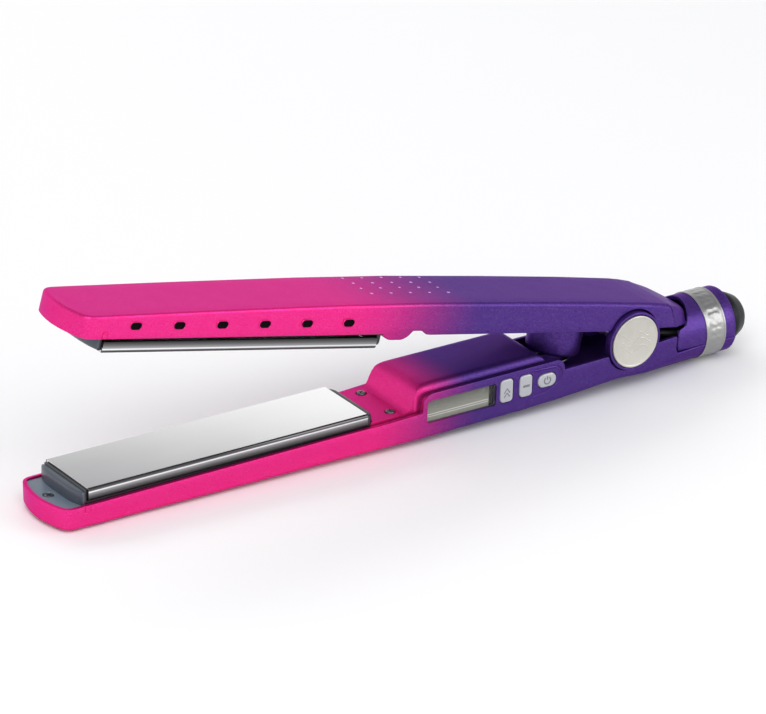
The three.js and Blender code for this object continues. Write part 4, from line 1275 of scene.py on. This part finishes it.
def band_drawing():
    """A bright band embossed with a row of lozenges between two plain edges."""
    sides, steps, lozenges = 288, 18, 13
    back, face, rim, edge = TAIL_RADIUS + 0.02, 13.7, 13.88, 0.85
    border = ((back, 0.0), (13.72, 0.0), (rim, 0.15), (rim, 0.7), (face, edge))
    start, end = BAND_START, BAND_END
    rings = []
    for k in range(sides + 1):
        angle = 2 * math.pi * k / sides
        ring = [(radius, start + far) for radius, far in border]
        for j in range(1, steps):
            share = j / steps
            along_x = (start + edge) + (end - start - 2 * edge) * share
            fade = math.sin(math.pi * share)
            wave = abs(math.sin(angle * lozenges)) * fade
            cross = math.cos(2 * lozenges * angle + 3 * math.sin(6 * share)) * fade
            ring.append((13.66 + 0.14 * ease(1.6 * wave - 0.35) + 0.035 * cross, along_x))
        ring += [(radius, end - far) for radius, far in border[::-1]]
        rings.append([(x, radius * math.cos(angle), TAIL_Z + radius * math.sin(angle))
                      for radius, x in ring])
    return loft(rings, (False, False))


class FLATIRON_OT_tail(bpy.types.Operator):
    """Builds the rear cover, the bright band and the turning cord gland"""

    bl_idname = "flatiron.tail"
    bl_label = "Tail"

    def execute(self, context):
        look = context.scene.flatiron_fittings
        finish = paint("tail_paint", LOWER, context.scene.flatiron_casing.lower_fade)
        piece("tail_cover", rear_cover_drawing(), LOWER, finish, "lower_arm",
              ["rear_cover"])
        piece("tail_end_wall", end_wall_drawing(), LOWER, finish, "lower_arm")
        chrome = moulded("embossed_chrome", look.chrome, 0.3, 0.5, 0.03, metallic=1.0, spread=0.4)
        piece("bright_band", band_drawing(), LOWER, chrome, "lower_arm",
              ["tail_band"])
        rubber = moulded("gland_black", look.black, 0.4, 0.5, 0.015, specular=0.25)
        profile = softened([(3.3, 293.0), (5.2, 293.0), (5.2, 301.2), (10.6, 301.2),
                            (10.6, 305.4), (8.3, 305.4), (8.3, 308.8), (10.1, 308.8),
                            (10.4, 312.0), (8.0, 316.8), (5.2, 319.0), (3.3, 319.2),
                            (3.3, 293.4)], 1.1, 4)
        gland = turned(profile, "X", (0, 0, TAIL_Z), 72, True)
        piece("cord_gland", gland, LOWER, rubber, "cord_swivel",
              ["swivel_gland"])
        return {"FINISHED"}


# ---- hinge -----------------------------------------------------------------------------

def medallion_drawing(side):
    """A hinge cap with a raised rim round three raised waves."""
    edge, face = CAP_RADIUS, CAP_FACE
    disc = hinged([(0.0, 17.2), (edge - 0.3, 17.2), (edge, 17.35), (edge, face - 0.42),
                   (edge - 0.1, face - 0.16), (edge - 0.35, face), (edge - 0.7, face),
                   (edge - 0.95, face - 0.14), (edge - 1.15, face - 0.2), (0.0, face - 0.2)],
                  side, 96)
    waves = []
    for k in (-1, 0, 1):
        path = []
        for step in range(33):
            t = step / 32 * 2 - 1
            x = t * (7.4 - 1.1 * abs(k))
            path.append((HINGE_X + x, side * (face - 0.26),
                         HINGE_Z + 3.0 * k + 1.25 * math.sin(t * 4.4 + 0.5 * k)))
        waves.append(tube(path, 0.24))
    return joined(disc, *waves)


def ear_drawing(side):
    """The painted ring round a medallion and the seat behind it."""
    edge = EAR_RADIUS
    return hinged([(0.0, 14.3), (edge - 0.2, 14.3), (edge, 14.5), (edge, 17.45),
                   (edge - 0.13, 17.75), (edge - 0.45, EAR_FACE), (edge - 0.75, EAR_FACE),
                   (edge - 0.95, 17.8), (11.35, 17.5), (11.35, 16.9), (0.0, 16.9)], side, 96)


def spring_path():
    """A coil whose turns lean over to match the open upper arm at the top."""
    bottom, top = Vector((225.2, 0, -7.0)), Vector((228.5, 0, 11.9))
    radius, turns, count = 7.0, 5, 150
    path = []
    for k in range(count + 1):
        share = k / count
        angle = 2 * math.pi * turns * share
        centre = bottom.lerp(top, share)
        reach = radius * math.cos(angle)
        path.append((centre.x + reach, radius * math.sin(angle),
                     centre.z - share * math.sin(OPENING) * reach))
    return path


class FLATIRON_OT_hinge(bpy.types.Operator):
    """Builds the ears round the hinge, the hinge caps and the spring that opens the arms"""

    bl_idname = "flatiron.hinge"
    bl_label = "Hinge"

    def execute(self, context):
        look = context.scene.flatiron_fittings
        ear_paint = paint("ear_paint", LOWER, context.scene.flatiron_casing.lower_fade)
        metal = moulded("medallion_metal", look.medallion, 0.36, 0.22, 0.02, metallic=0.85,
                        spread=0.35)
        for side, end in ((-1, "left"), (1, "right")):
            piece(f"hinge_ear_{end}", ear_drawing(side), LOWER, ear_paint, "lower_arm")
            piece(f"medallion_{end}", medallion_drawing(side), LOWER, metal, "lower_arm",
                  [f"hinge_cap_{end}"])
        steel = moulded("spring_steel", (0.09, 0.09, 0.10, 1.0), 0.34, 0.3, 0.006, metallic=0.9)
        spring = piece("opening_spring", tube(spring_path(), 0.7, 10), LOWER, steel,
                       "lower_arm", ["arm_spring"])
        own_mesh(spring)
        return {"FINISHED"}


# ---- controls --------------------------------------------------------------------------

def button_drawing(button):
    """A push button's rounded cap and the flange that holds it behind the wall."""
    outline = grown(*button, 7, True)
    cap = raised(outline, [(-0.75, -18.22), (-0.5, BUTTON_FACE), (-0.22, -18.08),
                           (-0.06, -17.85), (0.0, -17.5), (0.0, -15.2)], "Y")
    flange = raised(outline, [(0.8, -15.6), (0.8, -14.8)], "Y")
    return joined(cap, flange)


def mark_drawing(kind, x, z):
    """The sign on a button: two chevrons, a minus bar, or an open ring with a bar."""
    face, radius, lift = BUTTON_FACE, 0.34, 0.26
    if kind == "button_up":
        strokes = [[(x - 1.35, z - 0.9), (x, z + 1.0), (x + 1.35, z - 0.9)],
                   [(x - 1.35, z - 2.6), (x, z - 0.9), (x + 1.35, z - 2.6)]]
    elif kind == "button_down":
        strokes = [[(x - 1.6, z + off), (x + 1.6, z + off)] for off in (-0.2, 0.2)]
    else:
        strokes = [arc(x, z, 1.5, 125, 415, 20), [(x, z + 0.3), (x, z + 1.8)]]
    points, faces = joined(*[tube([(a, face, b) for a, b in stroke], radius)
                             for stroke in strokes])
    return [(a, face + (y - face) * lift, b) for a, y, b in points], faces


class FLATIRON_OT_controls(bpy.types.Operator):
    """Builds the display behind its clear window and the three push buttons"""

    bl_idname = "flatiron.controls"
    bl_label = "Display and buttons"

    def execute(self, context):
        look = context.scene.flatiron_fittings
        clear = Finish("clear_window")
        window = clear.surface({
            "Base Color": clear.mix(clear.noise(4.0) * 0.2, (0.34, 0.35, 0.33, 1.0),
                                    (0.28, 0.29, 0.28, 1.0)),
            "Roughness": 0.04 + clear.noise(5.0) * 0.03,
            "Alpha": 0.05, "Coat Weight": 0.1, "Specular IOR Level": 0.3})
        lens = raised(grown(*DISPLAY, DISPLAY_CORNER, 6, True),
                      [(-0.5, -17.68), (-0.32, -17.6), (-GAP, -17.4), (-GAP, -15.8)], "Y")
        piece("display_lens", lens, LOWER, window, "lower_arm",
              ["display_window"])
        glass = display_face("liquid_crystal", LOWER, look.glass, (0.75, 0.76, 0.70, 1.0))
        panel = raised(grown(153.9, -10.2, 186.9, 0.2, 0.4),
                       [(-0.1, -15.5), (0.0, -15.4), (0.0, -12.3)], "Y")
        piece("display_panel", panel, LOWER, glass, "lower_arm",
              ["lcd_module"])
        silver = moulded("button_silver", look.button, 0.3, 0.3, 0.008, metallic=0.45, coat=0.25,
                         spread=0.15)
        ink = moulded("button_mark", look.mark, 0.4, 0.3, 0.005)
        for name, button in BUTTONS.items():
            piece(f"{name}_cap", button_drawing(button), LOWER, silver, name,
                  [name])
            x0, z0, x1, z1, _ = button
            mark = mark_drawing(name, (x0 + x1) / 2, (z0 + z1) / 2)
            piece(f"{name}_mark", mark, LOWER, ink, name)
        return {"FINISHED"}


# ---- screws ----------------------------------------------------------------------------

def screw_mesh(head):
    """A pan-head screw with a cross recess, its head's outer face at z = 0."""
    blank = mesh_of("screw", turned(
        [(0.0, -6.0), (0.6, -6.0), (1.0, -5.2), (1.0, -1.2), (head - 0.1, -1.2), (head, -1.1),
         (head, -0.45), (head - 0.15, -0.18), (head - 0.5, -0.03), (0.0, 0.0)],
        "Z", (0, 0, 0), 40))
    arm, thin, deep = 1.15, 0.24, -0.75

    def bit(grow):
        a, t = arm + grow, thin + grow
        return [(a, t), (t, t), (t, a), (-t, a), (-t, t), (-a, t), (-a, -t), (-t, -t), (-t, -a),
                (t, -a), (t, -t), (a, -t)]
    return carved(blank, raised(bit, [(-0.12, deep), (0.05, 0.4)]))


class FLATIRON_OT_screws(bpy.types.Operator):
    """Builds the seven screws"""

    bl_idname = "flatiron.screws"
    bl_label = "Screws"

    def execute(self, context):
        steel = moulded("dark_screw_steel", (0.17, 0.17, 0.19, 1.0), 0.32, 0.25, 0.008,
                        metallic=0.9)
        mesh = screw_mesh(SCREW_HEAD)
        seats = (
            ("lower_tip_screw", TIP_SCREW_X, 0.0, -TIP_SCREW_Z),
            ("lower_cover_screw_left", LOWER_COVER_SCREW_X, -COVER_SCREW_Y, -3.9),
            ("lower_cover_screw_right", LOWER_COVER_SCREW_X, COVER_SCREW_Y, -3.9),
            ("tail_screw", TAIL_SCREW_X, 0.0, -18.9),
            ("upper_tip_screw", TIP_SCREW_X, 0.0, TIP_SCREW_Z),
            ("upper_cover_screw_left", UPPER_COVER_SCREW_X, -COVER_SCREW_Y, 2.9),
            ("upper_cover_screw_right", UPPER_COVER_SCREW_X, COVER_SCREW_Y, 2.9),
        )
        first_turn, next_turn = 0.4, 0.9
        for index, (name, *place) in enumerate(seats):
            upper = name.startswith("upper")
            seat = Matrix.Translation([value * MM for value in place])
            seat = seat @ Matrix.Rotation(first_turn + next_turn * index, 4, "Z")
            if upper or name == "tail_screw":
                seat = seat @ FLIP
            piece(f"{name}_head", mesh.copy(), (UPPER if upper else LOWER) @ seat, steel,
                  "upper_arm" if upper else "lower_arm", [name])
        return {"FINISHED"}


# ---- parts kept from the frame ---------------------------------------------------------

class FLATIRON_OT_inner_parts(bpy.types.Operator):
    """Gives the parts inside the arms, which keep their frame shapes, their materials"""

    bl_idname = "flatiron.inner_parts"
    bl_label = "Inner parts"

    def execute(self, context):
        steel = moulded("zinc_steel", (0.45, 0.45, 0.46, 1.0), 0.32, 0.4, 0.01, metallic=1.0)
        acetal = moulded("acetal", (0.60, 0.60, 0.57, 1.0), 0.4, 0.5, 0.01)
        brass = moulded("contact_brass", (0.60, 0.42, 0.14, 1.0), 0.28, 0.3, 0.01, metallic=1.0)
        black = moulded("switch_black", (0.018, 0.018, 0.02, 1.0), 0.45, 0.3, 0.015)
        board = moulded("board_green", (0.015, 0.10, 0.045, 1.0), 0.35, 0.8, 0.02, coat=0.3)
        ceramic = moulded("heater_ceramic", (0.80, 0.77, 0.70, 1.0), 0.5, 0.6, 0.02)
        bead = moulded("thermistor_bead", (0.03, 0.03, 0.03, 1.0), 0.35, 0.4, 0.02)
        mica = moulded("mica", (0.44, 0.35, 0.22, 1.0), 0.4, 1.2, 0.03, spread=0.6)
        sleeve = moulded("loom_sleeve", (0.02, 0.02, 0.02, 1.0), 0.6, 0.35, 0.05,
                         stretch=(0.3, 1.0, 1.0))
        finishes = {"contact_ring_live": brass, "contact_ring_neutral": brass,
                    "brush_block": black, "control_board": board}
        for side in ("left", "right"):
            finishes.update({f"hinge_pin_{side}": steel, f"hinge_bush_{side}": acetal})
        for button in BUTTONS:
            finishes[f"{button}_switch"] = black
        for loom in ("mains", "board", "heater", "upper"):
            finishes[f"{loom}_loom"] = sleeve
        for arm in ("lower", "upper"):
            finishes.update({f"{arm}_heater": ceramic, f"{arm}_heater_clip": steel,
                             f"{arm}_thermistor": bead, f"{arm}_mica_sheet": mica})
        for name, finish in finishes.items():
            node = frame["nodes"][name]
            node.data.materials.clear()
            node.data.materials.append(finish)
        return {"FINISHED"}


# ---- stage -----------------------------------------------------------------------------

def area_light(name, at, towards, size, power):
    """A rectangular light that faces a point."""
    data = bpy.data.lights.new(name, "AREA")
    data.shape = "RECTANGLE"
    data.size, data.size_y = size
    data.energy = power
    made = bpy.data.objects.new(name, data)
    made.location = at
    made.rotation_euler = (Vector(towards) - Vector(at)).to_track_quat("-Z", "Y").to_euler()
    bpy.context.scene.collection.objects.link(made)
    return made


class FLATIRON_OT_stage(bpy.types.Operator):
    """Sets up the pale floor, the soft lights and the camera"""

    bl_idname = "flatiron.stage"
    bl_label = "Stage"

    def execute(self, context):
        look = context.scene.flatiron_stage
        low, _ = CAD_BOX
        reach, below = 3.0, 0.0002
        corners = ((-reach, -reach), (reach, -reach), (reach, reach), (-reach, reach))
        mesh = bpy.data.meshes.new("floor")
        mesh.from_pydata([(x, y, low.z - below) for x, y in corners], [], [(0, 1, 2, 3)])
        mesh.materials.append(floor_finish("pale_floor", look.floor))
        floor = bpy.data.objects.new("floor", mesh)
        context.scene.collection.objects.link(floor)

        world = bpy.data.worlds.new("studio")
        world.use_nodes = True
        backdrop = world.node_tree.nodes["Background"]
        sky = Finish.over(world.node_tree)
        towards = sky.node("ShaderNodeTexCoord", {}, {}, "Generated")
        rise = sky.node("ShaderNodeSeparateXYZ", {}, {0: towards}, "Z")
        shade = sky.mix(rise.fade(0.1, 0.95), (1.0, 1.0, 1.0, 1.0), (0.38, 0.38, 0.40, 1.0))
        sky.fill(backdrop, {"Color": shade, "Strength": look.sky})
        context.scene.world = world
        middle = (0.0, 0.0, 0.03)
        area_light("key", (-0.55, -0.75, 1.15), middle, (1.1, 0.8), look.key)
        area_light("side", (0.9, -0.9, 0.55), (0.05, 0.0, 0.03), (0.5, 0.9), look.key * 0.35)
        back_light = area_light("back", (0.1, 1.1, 0.9), middle, (1.4, 0.5), look.key * 0.5)
        back_light.visible_glossy = False
        context.scene.view_settings.view_transform = "Standard"

        azimuth, elevation, roll = look.azimuth, look.elevation, look.roll
        back = Vector((math.sin(azimuth) * math.cos(elevation),
                       -math.cos(azimuth) * math.cos(elevation), math.sin(elevation)))
        right = Vector((math.cos(azimuth), math.sin(azimuth), 0.0))
        up = back.cross(right)
        turned_right = right * math.cos(roll) + up * math.sin(roll)
        turned_up = up * math.cos(roll) - right * math.sin(roll)
        data = bpy.data.cameras.new("camera")
        data.sensor_width = 36.0
        data.lens = look.lens
        data.clip_end = 20.0
        camera = bpy.data.objects.new("camera", data)
        place = Vector(look.target) + back * look.distance
        axes = Matrix((turned_right, turned_up, back)).transposed().to_4x4()
        camera.matrix_world = Matrix.Translation(place) @ axes
        context.scene.collection.objects.link(camera)
        context.scene.camera = camera
        return {"FINISHED"}


# ---- panel and registration ------------------------------------------------------------

STEPS = (FLATIRON_OT_stage, FLATIRON_OT_inner_parts, FLATIRON_OT_lower_casing,
         FLATIRON_OT_upper_casing, FLATIRON_OT_inner_covers, FLATIRON_OT_plates,
         FLATIRON_OT_tail, FLATIRON_OT_hinge, FLATIRON_OT_controls, FLATIRON_OT_screws)
SETTINGS = {"flatiron_casing": CasingSettings, "flatiron_fittings": FittingSettings,
            "flatiron_stage": StageSettings}


class FLATIRON_PT_sidebar(bpy.types.Panel):
    """Lists the settings and the steps that build the flat iron"""

    bl_idname = "FLATIRON_PT_sidebar"
    bl_label = "Flat iron"
    bl_space_type = "VIEW_3D"
    bl_region_type = "UI"
    bl_category = "Flat iron"

    def draw(self, context):
        for step in STEPS:
            self.layout.operator(step.bl_idname)
        for attribute, group in SETTINGS.items():
            box = self.layout.box()
            for name in group.__annotations__:
                box.prop(getattr(context.scene, attribute), name)


def register():
    """Adds the settings, the steps and the panel to Blender."""
    for group in SETTINGS.values():
        bpy.utils.register_class(group)
    for step in STEPS:
        bpy.utils.register_class(step)
    bpy.utils.register_class(FLATIRON_PT_sidebar)
    for attribute, group in SETTINGS.items():
        setattr(bpy.types.Scene, attribute, PointerProperty(type=group))


def unregister():
    """Takes out what register adds."""
    for attribute in SETTINGS:
        delattr(bpy.types.Scene, attribute)
    bpy.utils.unregister_class(FLATIRON_PT_sidebar)
    for step in reversed(STEPS):
        bpy.utils.unregister_class(step)
    for group in SETTINGS.values():
        bpy.utils.unregister_class(group)


def main():
    """Builds everything in order."""
    register()
    for step in STEPS:
        group, name = step.bl_idname.split(".")
        getattr(getattr(bpy.ops, group), name)()
    bpy.context.view_layer.update()


if __name__ == "__main__":
    main()
